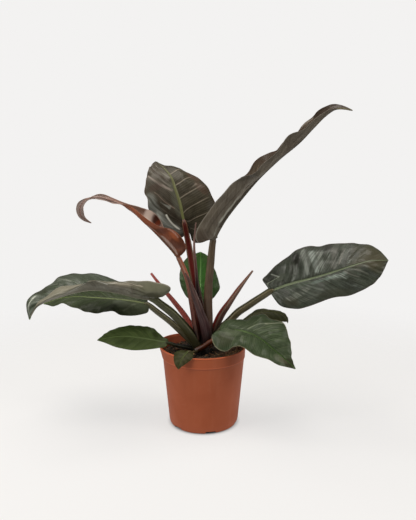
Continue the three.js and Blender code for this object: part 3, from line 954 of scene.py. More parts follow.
@dataclass(frozen=True)
class Leaf:
    """A leaf: its stalk, and its blade hung on a midrib and two margins.

    bulge arches each half as a share of its breadth at the base, middle and tip, rush is below 1
    where the side veins sweep forward, and wave is the margin's wave: a height in millimetres, a
    count of crests and a phase.
    """

    name: str
    slot: Slot
    stalk_slot: Slot
    stalk: Rod
    midrib: tuple[Point, ...]
    left: tuple[Point, ...]
    right: tuple[Point, ...]
    bulge: tuple[Point, Point]
    rush: tuple[float, float]
    wave: tuple[float, float, float]
    veins: Veins
    relief: Relief
    upper: SkinFinish
    under: SkinFinish
    stalk_finish: RodFinish
    rows: int = 150
    columns: int = 26

    HALF_WIDTH_LEFT = 0.7
    WAVE_OFFSET = 0.37
    WAVE_FADE = 0.7
    RIB_SHARE = 0.34
    RIB_TAPER = 0.85
    RIB_BREADTH = 0.42
    RIB_NARROWING = 0.82
    RIB_LEAST = 0.5
    KEEL_REACH = 1.25
    TROUGH = 0.5
    BANK = 0.28
    SKIN = 0.45
    SKIN_LOSS = 0.22
    CROWDING = 1.6
    RUN_ON = 0.8

    def surface(self, u: Array, v: Array) -> Array:
        """The blade's middle surface.

        Args:
            u: shares of the way from base to tip.
            v: shares across, from -1 at the left margin to 1 at the right.

        Returns:
            A point for each pair of u and v.
        """
        rib = Spline(self.midrib)
        margins = [
            Spline([self.midrib[0], *side, self.midrib[-1]]) for side in (self.left, self.right)
        ]
        middle, along = rib.at(u), rib.along(u)
        inner = np.clip(u, 0.03, 0.97)
        ends = [margin.at(inner**rush) for margin, rush in zip(margins, self.rush)]
        sideways = ends[1] - ends[0]
        sideways = unit(sideways - along * np.sum(sideways * along, 1, keepdims=True))
        height, count, phase = self.wave
        fade = np.sin(math.pi * u) ** self.WAVE_FADE
        points = np.empty((len(u), len(v), 3))
        for half, sign in ((0, -1), (1, 1)):
            chosen = v < 0 if half == 0 else v >= 0
            reach = np.abs(v[chosen])[None, :, None]
            chord = margins[half].at(u ** self.rush[half]) - middle
            chord = chord + sideways * sign * self.HALF_WIDTH_LEFT
            length = np.linalg.norm(chord, axis=1, keepdims=True)
            face = unit(np.cross(chord, along) * sign)
            swing = np.sin(2 * math.pi * (count * u + phase + self.WAVE_OFFSET * half))
            arch = through(self.bulge[half], u)[:, None] * length
            lift = (
                arch[:, None, :] * 4 * reach * (1 - reach)
                + (height * swing * fade)[:, None, None] * reach**2
            )
            points[:, chosen] = (
                middle[:, None, :] + chord[:, None, :] * reach + face[:, None, :] * lift
            )
        return points

    def normals(self, u: Array, v: Array) -> Array:
        """The unit normals of the blade's upper side, softened over the midrib."""
        step = 1e-3
        low, high = np.maximum(u - step, 0), np.minimum(u + step, 1)
        left, right = np.maximum(v - step, -1), np.minimum(v + step, 1)
        along_u = self.surface(high, v) - self.surface(low, v)
        along_v = self.surface(u, right) - self.surface(u, left)
        normal = unit(np.cross(along_v, along_u))
        centre = normal[:, len(v) // 2][:, None, :]
        share = np.exp(-((np.abs(v) / 0.05) ** 2))[None, :, None]
        return unit(normal * (1 - share) + centre * share)

    def relief_at(self, u: Array, v: Array, across: Array, length: float) -> Array:
        """How far the blade's skins stand off its middle surface, up its normal.

        Args:
            u: shares of the way from base to tip, one a row.
            v: shares across, one a column.
            across: each point's distance from the midrib in millimetres.
            length: the midrib's length in millimetres.

        Returns:
            A height in millimetres for each point.
        """
        rows, columns = np.meshgrid(u, v, indexing="ij")
        t = np.abs(columns)
        right = (columns > 0).astype(float)
        shape = self.relief
        phase = self.veins.phase(rows, t, right)
        ends = smooth(rows, 0, 0.08) * (1 - smooth(rows, 0.88, 1))
        inner = smooth(t, 0.02, 0.16) * (1 - 0.7 * smooth(t, 0.75, 1)) * ends
        swell = np.abs(np.sin(math.pi * phase)) ** 0.7 - 0.6
        chances = np.random.default_rng(shape.seed).uniform(0.35, 1.5, 200)
        swell = swell * chances[(np.floor(phase) + 60 + 90 * right).astype(int)]
        lumps = Lumps(shape.seed, 55, shape.lumps).at(rows * length, across)
        small = Lumps(shape.seed + 50, 16, 0.22 * shape.quilt).at(rows * length, across)
        wander = np.sin(9 * rows + 4 * right + shape.seed)
        ripple = np.sin(2 * math.pi * (shape.ripples * rows + 0.3 * wander + 0.5 * right))
        return (
            (shape.quilt * swell + small) * inner
            + lumps * smooth(t, 0.05, 0.5) * ends
            + shape.ripple * ripple * t**4 * ends
        )

    def blade(self) -> bpy.types.Object:
        """Makes the blade's object."""
        u = np.linspace(0, 1, self.rows + 1)
        half = (np.arange(1, self.columns + 1) / self.columns) ** self.CROWDING
        v = np.concatenate([-half[::-1], [0.0], half])
        length = Spline(self.midrib).length
        middle = self.surface(u, v)
        normal = self.normals(u, v)
        spine = middle[:, len(v) // 2][:, None, :]
        across = np.linalg.norm(middle - spine, axis=2) * np.sign(v)[None, :]
        relief = self.relief_at(u, v, across, length)
        t = np.abs(v)[None, :]
        skin = self.SKIN - self.SKIN_LOSS * t
        narrowing = 1 - self.RIB_NARROWING * u**0.8
        rib_width = self.stalk.width[1] * self.RIB_BREADTH * narrowing + self.RIB_LEAST
        off = np.abs(across) / rib_width[:, None]
        rounded = np.sqrt(np.clip(1 - (off / self.KEEL_REACH) ** 2, 0, 1))
        keel = self.RIB_SHARE * self.stalk.depth[1] * (1 - self.RIB_TAPER * u)[:, None] * rounded
        bank = np.exp(-(((off - 1.1) / 0.4) ** 2))
        trough = self.TROUGH * np.exp(-((off * 1.2) ** 2)) - self.BANK * bank
        upper = middle + normal * (relief + skin - trough)[..., None]
        lower = middle + normal * (relief - skin - keel)[..., None]

        form = Form()
        form.add_points(upper)
        start = form.add_points(lower)
        rows, columns = np.meshgrid(u, v, indexing="ij")
        maps = np.stack([rows, 0.5 + 0.5 * columns], -1).reshape(-1, 2)
        spans = np.stack([rows * length, across], -1).reshape(-1, 2)
        faces = grid(self.rows, len(v) - 1)
        form.add_faces(faces, maps[faces], spans[faces], 0)
        under = faces[:, ::-1]
        form.add_faces(under + start, maps[under], spans[under], 1)
        wide = len(v)
        corner = np.arange(len(u) * wide).reshape(len(u), wide)
        ring = np.concatenate(
            [corner[0, :-1], corner[:-1, -1], corner[-1, :0:-1], corner[:0:-1, 0]]
        )
        following = np.roll(ring, -1)
        rim = np.stack([ring, ring + start, following + start, following], 1)
        picked = np.stack([ring, ring, following, following], 1)
        form.add_faces(rim, maps[picked], spans[picked], 0)
        materials = [
            self.upper.material(self.name + "_upper", self.veins),
            self.under.material(self.name + "_under", self.veins),
        ]
        return form.finish("leaf_" + self.name, materials, 70)

    def build(self, number: int) -> None:
        """Makes and places the blade and its stalk."""
        place(self.blade(), self.slot, "blade_" + self.name)
        material = self.stalk_finish.material(self.name + "_stalk")
        piece = self._joined_stalk().build("petiole_" + self.name, material, 100 + number)
        place(piece, self.stalk_slot, "stalk_" + self.name)

    def _joined_stalk(self) -> Rod:
        """The stalk, run on under the midrib so that it goes over into the blade."""
        rib = Spline(self.midrib)
        share = np.array([self.RUN_ON * self.stalk.depth[1] / rib.length])
        normal = self.normals(share, np.array([-0.1, 0.0, 0.1]))[0, 1]
        end = rib.at(share)[0] - normal * self.stalk.depth[1] * 0.3
        return replace(self.stalk, points=(*self.stalk.points, tuple(end)), closing=0.6)


@dataclass(frozen=True)
class Spike:
    """A pointed sheath or a rolled new leaf between the stalks, which narrows late."""

    TAPER = 1.6
    GROOVE = 0.15

    name: str
    slot: Slot
    rod: Rod
    finish: RodFinish

    def build(self, number: int) -> None:
        """Makes and places the spike."""
        rod = replace(self.rod, taper=self.TAPER, groove=self.GROOVE)
        piece = rod.build("spike_" + self.name, self.finish.material(self.name), number)
        place(piece, self.slot, self.name)


@dataclass(frozen=True)
class PlasticFinish:
    """Matt coloured plastic with dust and scuffs, with painted shade under its collar and painted
    highlights on the collar's ledge and at its lip.

    The heights are in millimetres: the collar's foot, and its ledge and the lip above that.
    """

    tone: Colour = (150, 77, 47)
    pale: Colour = (160, 92, 64)
    deep: Colour = (140, 69, 40)
    # lip is the colour of the painted highlights on the collar's ledge and at the lip; groove that
    # of the painted shade under the collar.
    lip: Colour = (186, 96, 62)
    groove: Colour = (118, 58, 36)
    collar_foot: float = 138
    ledge_rise: float = 2.2
    lip_rise: float = 22.2

    def material(self) -> bpy.types.Material:
        """Makes the plastic's material."""
        sheet = NodeSheet.named("pot_plastic")
        spot = sheet.place()
        _, _, z = sheet.parts(spot)
        mottle = sheet.noise(spot, 20, 4, 0.6)
        drag = sheet.noise(sheet.stretched(spot, (70, 70, 5)), 1, 3)
        dust = sheet.noise(spot, 70, 5, 0.6)
        grain = sheet.noise(spot, 1500, 2)
        colour = sheet.mix(mottle.step(0.3, 0.7) * 0.6, linear(self.tone), linear(self.deep))
        colour = sheet.mix(drag.step(0.5, 0.75) * 0.2, colour, linear(self.pale))
        colour = sheet.mix(dust.step(0.6, 0.75) * 0.2, colour, linear(self.pale))
        up = z * (1 / MM) - self.collar_foot
        # Painted shade: a dark line at the collar's foot.
        foot = 1 - up.size().step(0.6, 1.6)
        colour = sheet.mix(foot * 0.5, colour, linear(self.groove))
        # Painted highlights: a pale line on the collar's ledge and a pale band at the lip.
        painted_ledge_highlight = 1 - (up - self.ledge_rise).size().step(0.4, 1.4)
        colour = sheet.mix(painted_ledge_highlight * 0.5, colour, linear(self.lip))
        painted_lip_highlight = up.step(self.lip_rise - 1.4, self.lip_rise)
        colour = sheet.mix(painted_lip_highlight * 0.8, colour, linear(self.lip))
        roughness = 0.5 + mottle * 0.2
        return sheet.surface(colour, roughness, grain + drag * 0.4, 0.05, level=0.2)


@dataclass
class Pot:
    """The nursery pot: one wall turned about its axis, with a collar and drainage notches."""

    height: float = 161
    rim_radius: float = 85.6
    collar: float = 23
    collar_step: float = 1.6
    foot_radius: float = 70.2
    corner: float = 6
    wall: float = 1.6
    floor: float = 2.4
    sides: int = 240
    notches: int = 6
    notch_width: float = 22
    notch_height: float = 5.5
    notch_depth: float = 14
    first_notch: float = -78
    flare: float = 9
    flare_rise: float = 4
    flare_angle: float = 155
    flare_spread: float = 45
    flare_depth: float = 20
    finish: PlasticFinish = field(default_factory=PlasticFinish)

    SHARP = 32
    NOTCH_SLANT = 0.8
    BOX = np.array(
        [(0, 1, 3, 2), (4, 6, 7, 5), (0, 4, 5, 1), (2, 3, 7, 6), (0, 2, 6, 4), (1, 5, 7, 3)]
    )

    @property
    def body_top(self) -> float:
        """The height of the collar's lower edge."""
        return self.height - self.collar

    @property
    def body_top_radius(self) -> float:
        """The body's outer radius just under the collar."""
        return self.rim_radius - 1 - self.collar_step

    def body_radius(self, z: float) -> float:
        """The body's outer radius at a height."""
        share = z / self.body_top
        return self.foot_radius + (self.body_top_radius - self.foot_radius) * share

    def profile(self) -> list[tuple[float, float]]:
        """The wall's section, from the middle of the underside round to the inner floor."""
        rim, top, high = self.rim_radius, self.body_top, self.height
        corner, wall = self.corner, self.wall
        quarter = [math.radians(10 * i) for i in range(10)]
        foot = [
            (
                self.foot_radius - corner + corner * 0.98 * math.sin(a),
                corner - corner * math.cos(a),
            )
            for a in quarter
        ]
        rise = [(self.body_radius(z), z) for z in np.linspace(corner + 4, top - 1.2, 24)]
        step = [
            (self.body_top_radius + 0.1, top - 0.4),
            (self.body_top_radius + 0.5, top + 0.1),
            (rim - 1.3, top + 1.0),
            (rim - 1.05, top + 1.5),
            (rim - 1, top + 2.4),
        ]
        lip = [
            (rim - 0.7, high - 6),
            (rim - 0.62, high - 3.2),
            (rim - 0.3, high - 2.8),
            (rim - 0.05, high - 2.3),
            (rim, high - 1.6),
            (rim - 0.05, high - 0.8),
            (rim - 0.3, high - 0.25),
            (rim - 0.8, high),
            (rim - 1.8, high),
            (rim - 2.25, high - 0.3),
            (rim - 2.45, high - 1.2),
        ]
        inner = [
            (rim - wall - 0.95, high - 6),
            (rim - wall - 1, top + self.collar_step + 1),
            (rim - wall - 1.4, top + self.collar_step),
            (self.body_top_radius - wall, top - 1),
            (self.body_radius(corner) - wall, corner + 2),
            (self.foot_radius - corner, self.floor),
            (0, self.floor),
        ]
        return [(0, 0), *foot, *rise, *step, *lip, *inner]

    def build(self) -> None:
        """Makes and places the pot."""
        profile = np.asarray(self.profile(), float)
        radius, z = profile[1:-1].T[..., None]
        off = (360 * np.arange(self.sides) / self.sides - self.flare_angle + 180) % 360 - 180
        share = np.exp(-((off / self.flare_spread) ** 2))
        share = share * smooth(z, self.height - self.flare_depth, self.height)
        out = radius * (1 + self.flare * share / self.rim_radius)
        rings = turned(out, z + self.flare_rise * share, self.sides)
        form = Form()
        form.add_tube(rings, np.array([(0, 0, profile[0, 1]), (0, 0, profile[-1, 1])]))
        piece = form.finish("pot", [self.finish.material()], self.SHARP)
        self._cut_notches(piece)
        place(piece, Slot.POT, "nursery_pot")

    def _cut_notches(self, piece: bpy.types.Object) -> None:
        """Cuts the drainage notches out of the foot."""
        form = Form()
        deep, wide, high = self.notch_depth, self.notch_width / 2, self.notch_height
        inner = self.foot_radius + 1 - deep
        for i in range(self.notches):
            angle = math.radians(self.first_notch + i * 360 / self.notches)
            outwards = np.array([math.cos(angle), math.sin(angle), 0])
            sideways = np.array([-math.sin(angle), math.cos(angle), 0])
            corners = [
                outwards * (inner + deep * x) + sideways * (wide - z * self.NOTCH_SLANT) * y
                + np.array([0, 0, -high + 2 * high * z])
                for x in (0, 1)
                for y in (-1, 1)
                for z in (0, 1)
            ]
            form.add_solid(np.array(corners), self.BOX)
        cutter = form.finish("notch_cutter", [], 30)
        cut = piece.modifiers.new("notches", "BOOLEAN")
        cut.operation = "DIFFERENCE"
        cut.solver = "EXACT"
        cut.object = cutter
        graph = bpy.context.evaluated_depsgraph_get()
        mesh = bpy.data.meshes.new_from_object(piece.evaluated_get(graph))
        piece.modifiers.clear()
        piece.data = mesh
        mesh.set_sharp_from_angle(angle=math.radians(self.SHARP))
        bpy.data.objects.remove(cutter)


@dataclass(frozen=True)
class SoilFinish:
    """Moist peat, with painted shade that darkens it round the stem."""

    dark: Colour = (34, 23, 14)
    light: Colour = (126, 94, 58)

    def material(self) -> bpy.types.Material:
        """Makes the soil's material."""
        sheet = NodeSheet.named("soil_peat")
        spot = sheet.place()
        clod = sheet.noise(spot, 190, 5, 0.5)
        grit = sheet.noise(spot, 900, 4)
        damp = sheet.noise(spot, 22, 2)
        colour = sheet.mix(clod.step(0.4, 0.72), linear(self.dark), linear(self.light))
        colour = sheet.mix(damp.step(0.35, 0.65) * 0.6, colour, linear(self.dark))
        x, y, _ = sheet.parts(spot)
        pale = x.step(-0.01, 0.05) * 0.45 * grit.step(0.4, 0.6)
        colour = sheet.mix(pale, colour, linear(self.light))
        # Painted shade: near black round the stem, where the leaves overhang the soil.
        away = ((x + 0.016) ** 2 + (y - 0.012) ** 2) ** 0.5
        deep = 1 - away.step(0.03, 0.075)
        colour = sheet.mix(deep * 0.9, colour, linear((10, 7, 5)))
        roughness = 0.86 + grit * 0.12
        return sheet.surface(colour, roughness, clod * 0.7 + grit * 0.3, 1.6)


@dataclass(frozen=True)
class ChipKind:
    """A kind of chip: its share of them all, its range of sizes, its height and its tones."""

    name: str
    share: float
    sizes: tuple[float, float]
    flatness: float
    tone: Colour
    other: Colour

    def material(self) -> bpy.types.Material:
        """Makes the chips' material."""
        sheet = NodeSheet.named(self.name)
        spot = sheet.place()
        fibre = sheet.noise(sheet.stretched(spot, (600, 260, 800)), 1, 3)
        patch = sheet.noise(spot, 120, 2)
        colour = sheet.mix(patch.step(0.4, 0.62), linear(self.tone), linear(self.other))
        return sheet.surface(colour, 0.8 + fibre * 0.15, fibre, 0.3)


CHIP_KINDS = (
    ChipKind("chip_peat", 0.42, (1.2, 3.2), 0.7, (44, 30, 20), (72, 50, 34)),
    ChipKind("chip_bark", 0.3, (1.8, 5.0), 0.35, (112, 78, 50), (76, 52, 34)),
    ChipKind("chip_pale", 0.2, (1.2, 2.6), 0.5, (156, 122, 80), (120, 88, 54)),
    ChipKind("chip_grit", 0.08, (0.8, 1.6), 0.8, (186, 170, 142), (150, 132, 104)),
)


@dataclass
class Soil:
    """The potting soil: a body that fills the pot, its lumpy top and the chips on it."""

    below_rim: float = 14
    lump: float = 1.6
    gap: float = 0.3
    rings: int = 64
    sides: int = 180
    chips: int = 460
    seed: int = 7
    finish: SoilFinish = field(default_factory=SoilFinish)

    SMOOTH_EDGE = 4
    CHIP_TURNS = 7
    CHIP_LIFT = 0.35

    def height(self, pot: Pot, x: Array, y: Array) -> Array:
        """The soil's height at each place, without its finer crumbs."""
        lumps = np.sin(x / 7.1 + 1.3) * np.cos(y / 8.3) + 0.6 * np.sin(x / 3.9 - y / 4.7)
        return pot.height - self.below_rim + self.lump * lumps

    def crumbs(self, x: Array, y: Array) -> Array:
        """The finer unevenness of the soil's top."""
        return Lumps(self.seed, 7, 0.55).at(x, y) + Lumps(self.seed + 1, 3.2, 0.35).at(x, y)

    def build(self, pot: Pot) -> None:
        """Makes and places the soil and its chips."""
        collar = pot.rim_radius - pot.wall - 1.4 - self.gap
        sides = [
            (pot.foot_radius - pot.corner - self.gap, pot.floor + self.gap),
            (pot.body_radius(pot.corner) - pot.wall - self.gap, pot.corner),
            (pot.body_radius(pot.body_top - 1) - pot.wall - 2 * self.gap, pot.body_top - 1),
            (collar, pot.body_top + pot.collar_step + self.gap),
            (collar, pot.height - self.below_rim - 2 * self.lump),
        ]
        radius, z = np.array(sides).T[..., None]
        wall = turned(radius, z, self.sides)
        radius = collar * (1 - (np.arange(self.rings) + 0.15) / self.rings)[:, None]
        top = turned(radius, 0.0, self.sides)
        x, y = top[..., 0], top[..., 1]
        edge = smooth(radius, collar, collar - self.SMOOTH_EDGE)
        top[..., 2] = self.height(pot, x, y) + self.crumbs(x, y) * edge
        level = float(self.height(pot, np.array(0.0), np.array(0.0)))
        form = Form()
        form.add_tube(np.concatenate([wall, top]), np.array([(0, 0, sides[0][1]), (0, 0, level)]))
        place(form.finish("soil_bed", [self.finish.material()], 80), Slot.SOIL, "potting_soil")
        place(self._chips(pot, collar), Slot.SOIL)

    def _chips(self, pot: Pot, collar: float) -> bpy.types.Object:
        """Scatters bark, peat and perlite over the top."""
        golden = (1 + math.sqrt(5)) / 2
        corners = np.array(
            [
                (-1, golden, 0), (1, golden, 0), (-1, -golden, 0), (1, -golden, 0),
                (0, -1, golden), (0, 1, golden), (0, -1, -golden), (0, 1, -golden),
                (golden, 0, -1), (golden, 0, 1), (-golden, 0, -1), (-golden, 0, 1),
            ],
            float,
        ) / 1.9
        faces = np.array(
            [
                (0, 11, 5), (0, 5, 1), (0, 1, 7), (0, 7, 10), (0, 10, 11), (1, 5, 9), (5, 11, 4),
                (11, 10, 2), (10, 7, 6), (7, 1, 8), (3, 9, 4), (3, 4, 2), (3, 2, 6), (3, 6, 8),
                (3, 8, 9), (4, 9, 5), (2, 4, 11), (6, 2, 10), (8, 6, 7), (9, 8, 1),
            ]
        )
        draw = np.random.default_rng(self.seed)
        form = Form()
        shares = [kind.share for kind in CHIP_KINDS]
        for number in draw.choice(len(CHIP_KINDS), self.chips, p=shares):
            kind = CHIP_KINDS[number]
            radius = math.sqrt(draw.uniform(0.035, 0.93)) * collar
            angle = draw.uniform(0, 2 * math.pi)
            x, y = radius * math.cos(angle), radius * math.sin(angle)
            size = draw.uniform(*kind.sizes)
            scale = size * np.array([1, draw.uniform(0.45, 0.9), kind.flatness])
            tilts = [draw.uniform(-0.5, 0.5), draw.uniform(-0.5, 0.5)]
            lean = Euler([*tilts, angle * self.CHIP_TURNS]).to_matrix()
            jitter = corners * draw.uniform(0.75, 1.2, (12, 1))
            points = (jitter * scale) @ np.array(lean).T
            at = np.array([x, y])
            z = float(self.height(pot, at[:1], at[1:])[0] + self.crumbs(at[:1], at[1:])[0])
            lift = size * kind.flatness * self.CHIP_LIFT
            form.add_solid(points + [x, y, z + lift], faces, int(number))
        return form.finish("soil_chips", [kind.material() for kind in CHIP_KINDS], 35)


@dataclass
class Crown:
    """The short stem in the middle, ringed by the scars of old leaves."""

    bottom: float = 118
    top: float = 186
    radius: float = 13
    scars: int = 3
    rows: int = 70
    sides: int = 72

    DOME = 0.94

    def material(self) -> bpy.types.Material:
        """Makes the stem's material."""
        sheet = NodeSheet.named("crown_bark")
        spot = sheet.place()
        _, _, z = sheet.parts(spot)
        patch = sheet.noise(spot, 60, 4, 0.5)
        fibre = sheet.noise(sheet.stretched(spot, (900, 900, 90)), 1, 3)
        # The near-black tones are partly the stem's own dark bark and partly painted shade in the
        # hollow among the stalks.
        colour = sheet.mix(patch.step(0.35, 0.7), linear((30, 14, 12)), linear((14, 8, 8)))
        colour = sheet.mix(fibre.step(0.5, 0.75) * 0.3, colour, linear((70, 40, 28)))
        colour = sheet.mix(1 - z.step(0.15, 0.165), colour, linear((24, 16, 11)))
        return sheet.surface(colour, 0.55 + patch * 0.2, fibre, 0.5)

    def build(self) -> None:
        """Makes and places the stem."""
        share = np.linspace(0, 1, self.rows + 1)[:, None]
        turn = 2 * math.pi * np.arange(self.sides) / self.sides
        z = self.bottom + (self.top - self.bottom) * share
        taper = np.interp(share, [0, 1 / 6, 1 / 3, 1], [0.8, 0.9, 1.0, 0.72])
        scars = 1 + 0.05 * np.sin(2 * math.pi * share * self.scars - 0.7)
        lumps = 1 + Lumps(3, 12, 0.03).at(z, self.radius * turn[None, :])
        dome = np.sqrt(np.clip(1 - ((share - self.DOME) / 0.07) ** 2, 0, 1))
        dome = np.where(share > self.DOME, np.maximum(dome, 0.05), 1)
        radius = self.radius * taper * scars * lumps * dome
        form = Form()
        middles = np.array([(0, 0, self.bottom), (0, 0, self.top)])
        form.add_tube(turned(radius, z, self.sides), middles)
        place(form.finish("crown", [self.material()], 60), Slot.CROWN, "crown_stem")


# Finishes of the blades' two skins
BRONZE_UPPER = SkinFinish(
    left=(54, 46, 36), right=(50, 44, 32), deep=(30, 24, 16), painted_sheen=(104, 98, 86),
    vein=(128, 112, 92), rib=((112, 118, 70), (96, 98, 70)), edge=(78, 50, 40),
)
BRONZE_UNDER = SkinFinish(
    left=(86, 78, 66), right=(86, 78, 66), deep=(62, 52, 40), painted_sheen=(124, 116, 104),
    vein=(112, 102, 86), rib=((78, 64, 50), (84, 72, 58)), edge=(120, 108, 94), painted_sheen_bands=0.2,
    vein_share=0.3, roughness=0.5, coat=0.0,
)
GREEN_UPPER = SkinFinish(
    left=(46, 58, 34), right=(44, 58, 30), deep=(28, 38, 20), painted_sheen=(96, 108, 84),
    vein=(86, 104, 64), rib=((104, 124, 78), (86, 108, 62)), edge=(84, 84, 62), vein_share=0.4,
    level=0.14,
)
GREEN_UNDER = replace(
    BRONZE_UNDER, left=(88, 100, 72), right=(88, 100, 72), deep=(68, 78, 56), vein=(112, 124, 90),
    rib=((108, 118, 80), (104, 116, 80)),
)

# Each rod's lowest stops run near black: painted shade where the rods crowd into the crown.
OLIVE = RodFinish(
    stops=((0.0, (26, 20, 12)), (0.25, (70, 62, 40)), (1.0, (84, 78, 52))),
    channel=((0.0, (24, 18, 10)), (1.0, (68, 68, 42))), ridge=(112, 102, 76), streak=(56, 50, 30),
)
RED = RodFinish(
    stops=((0.0, (8, 3, 3)), (0.35, (18, 3, 3)), (0.55, (58, 22, 14)), (1.0, (92, 64, 46))),
    channel=((0.0, (8, 3, 3)), (0.35, (40, 4, 4)), (0.55, (84, 16, 11)), (1.0, (74, 22, 14))),
    ridge=(116, 82, 62), streak=(56, 24, 18),
)
RUST = RodFinish(
    stops=((0.0, (10, 6, 5)), (0.12, (24, 12, 9)), (0.3, (98, 50, 42)), (1.0, (128, 86, 68))),
    channel=((0.0, (20, 8, 6)), (0.3, (108, 50, 38)), (1.0, (150, 78, 48))),
    ridge=(176, 136, 118), streak=(112, 60, 44),
)
PURPLE = RodFinish(
    stops=(
        (0.0, (8, 1, 2)), (0.1, (18, 3, 4)), (0.22, (44, 15, 17)), (0.45, (54, 34, 34)),
        (0.7, (58, 42, 39)), (1.0, (72, 52, 45)),
    ),
    channel=((0.0, (8, 1, 2)), (0.3, (50, 18, 18)), (1.0, (66, 40, 38))), ridge=(152, 118, 110),
    streak=(42, 18, 20), channel_reach=0.19,
)
PINK = RodFinish(
    stops=((0.0, (14, 2, 2)), (0.42, (34, 6, 5)), (0.65, (74, 38, 30)), (0.8, (124, 98, 90))),
    channel=((0.0, (14, 2, 2)), (0.42, (34, 6, 5)), (0.65, (80, 40, 32)), (0.8, (120, 92, 84))),
    ridge=(166, 140, 132), streak=(60, 28, 24), ridge_share=0.35,
)

TALL_RIGHT = Leaf(
    name="tall_right", slot=Slot.BRONZE_LEAF, stalk_slot=Slot.OLIVE_STALK,
    stalk=Rod(
        points=((8, -3, 176), (9, -6, 236), (10, -9, 278), (14, -12, 329), (19, -15, 377)),
        width=(23, 13), depth=(22, 12), channel=(-1, 0.6, 0.2),
    ),
    midrib=(
        (19, -15, 379), (30, -22, 402), (45, -30, 427), (69, -41, 459), (101, -56, 498),
        (136, -72, 533), (169, -88, 561), (191, -99, 585), (212, -110, 607), (231, -118, 618),
        (254, -125, 614),
    ),
    left=(
        (9, -2, 381), (-5, 12, 388), (1, 24, 414), (27, 24, 451), (57, 18, 483), (80, 10, 504),
        (98, 0, 527), (124, -12, 547), (143, -26, 553), (159, -40, 575), (177, -56, 588),
        (191, -67, 603), (202, -80, 617), (218, -94, 624), (236, -110, 625),
    ),
    right=(
        (7, -24, 381), (-10, -42, 378), (-14, -50, 395), (-2, -54, 421), (22, -62, 453),
        (47, -72, 485), (67, -82, 498), (89, -94, 510), (109, -103, 527), (129, -108, 548),
        (149, -114, 572), (168, -120, 581), (182, -124, 594), (200, -127, 607), (220, -126, 616),
    ),
    bulge=((-0.05, -0.1, -0.1), (-0.12, -0.16, -0.12)), rush=(0.85, 0.85), wave=(1.5, 7, 0.15),
    veins=Veins(14, (0.25, 0.25)), relief=Relief(seed=11),
    upper=replace(
        BRONZE_UPPER, left=(58, 47, 37), right=(62, 49, 38), level=0.1, edge_share=0.3,
        aspect=0.12,
        # The two pale streaks are painted highlights, on a wave of the far margin and at the tip.
        patches=(
            Patch(0.5, -0.9, (0.08, 0.4), (56, 46, 37), 0.8),
            Patch(0.84, -0.9, (0.07, 0.5), (46, 37, 30), 0.85),
            Patch(0.93, -0.6, (0.06, 0.5), (58, 50, 45), 0.8),
            Streak((0.71, -0.97), (0.78, -0.92), 0.008, (132, 124, 114), 0.7),
            Streak((0.93, -0.5), (0.98, -0.4), 0.006, (150, 158, 152), 0.7),
        ),
    ),
    under=replace(
        BRONZE_UNDER, left=(97, 90, 78), right=(99, 92, 80), deep=(66, 56, 45),
        painted_sheen=(136, 129, 117), rib=((66, 60, 47), (84, 76, 62)), rib_width=(5.5, 1.2),
        edge=(146, 140, 129), edge_share=0.7, painted_sheen_streaks=0.4, aspect=0.12,
        # The pale streaks are painted highlights and sheen on the folded half.
        patches=(
            Patch(0.07, 0.8, (0.06, 0.35), (64, 50, 38), 0.6),
            Patch(0.45, 0.3, (0.12, 0.25), (74, 64, 52), 0.5),
            Patch(0.62, 0.4, (0.08, 0.3), (76, 66, 56), 0.4),
            Streak((0.1, 0.06), (0.75, 0.05), 0.01, (54, 47, 36), 0.7, 0.0),
            Streak((0.05, 0.28), (0.14, 0.24), 0.007, (132, 132, 120), 0.7, 0.0),
            Streak((0.14, 0.24), (0.3, 0.3), 0.011, (160, 160, 148), 0.9, 0.2, 0.2),
            Streak((0.3, 0.3), (0.48, 0.5), 0.01, (132, 126, 116), 0.8, 0.2, 0.3),
            Streak((0.1, 0.13), (0.5, 0.1), 0.009, (60, 54, 44), 0.8, 0.0, 0.0),
            Patch(0.43, 0.95, (0.07, 0.3), (66, 60, 49), 0.7),
            Streak((0.28, 0.2), (0.62, 0.22), 0.01, (138, 131, 118), 0.7, 0.0),
            Streak((0.34, 0.45), (0.64, 0.72), 0.01, (122, 115, 102), 0.6, 0.0),
            Streak((0.66, 0.45), (0.9, 0.3), 0.008, (128, 120, 106), 0.5),
            Streak((0.1, 0.62), (0.36, 0.5), 0.006, (62, 52, 41), 0.6),
            Streak((0.12, 0.78), (0.34, 0.78), 0.006, (124, 116, 103), 0.5),
        ),
    ),
    stalk_finish=replace(
        OLIVE,
        stops=(
            (0.0, (34, 16, 14)), (0.14, (74, 50, 40)), (0.4, (82, 66, 50)), (1.0, (82, 70, 52)),
        ),
        ridge=(116, 96, 78), streak=(62, 46, 36),
    ),
)
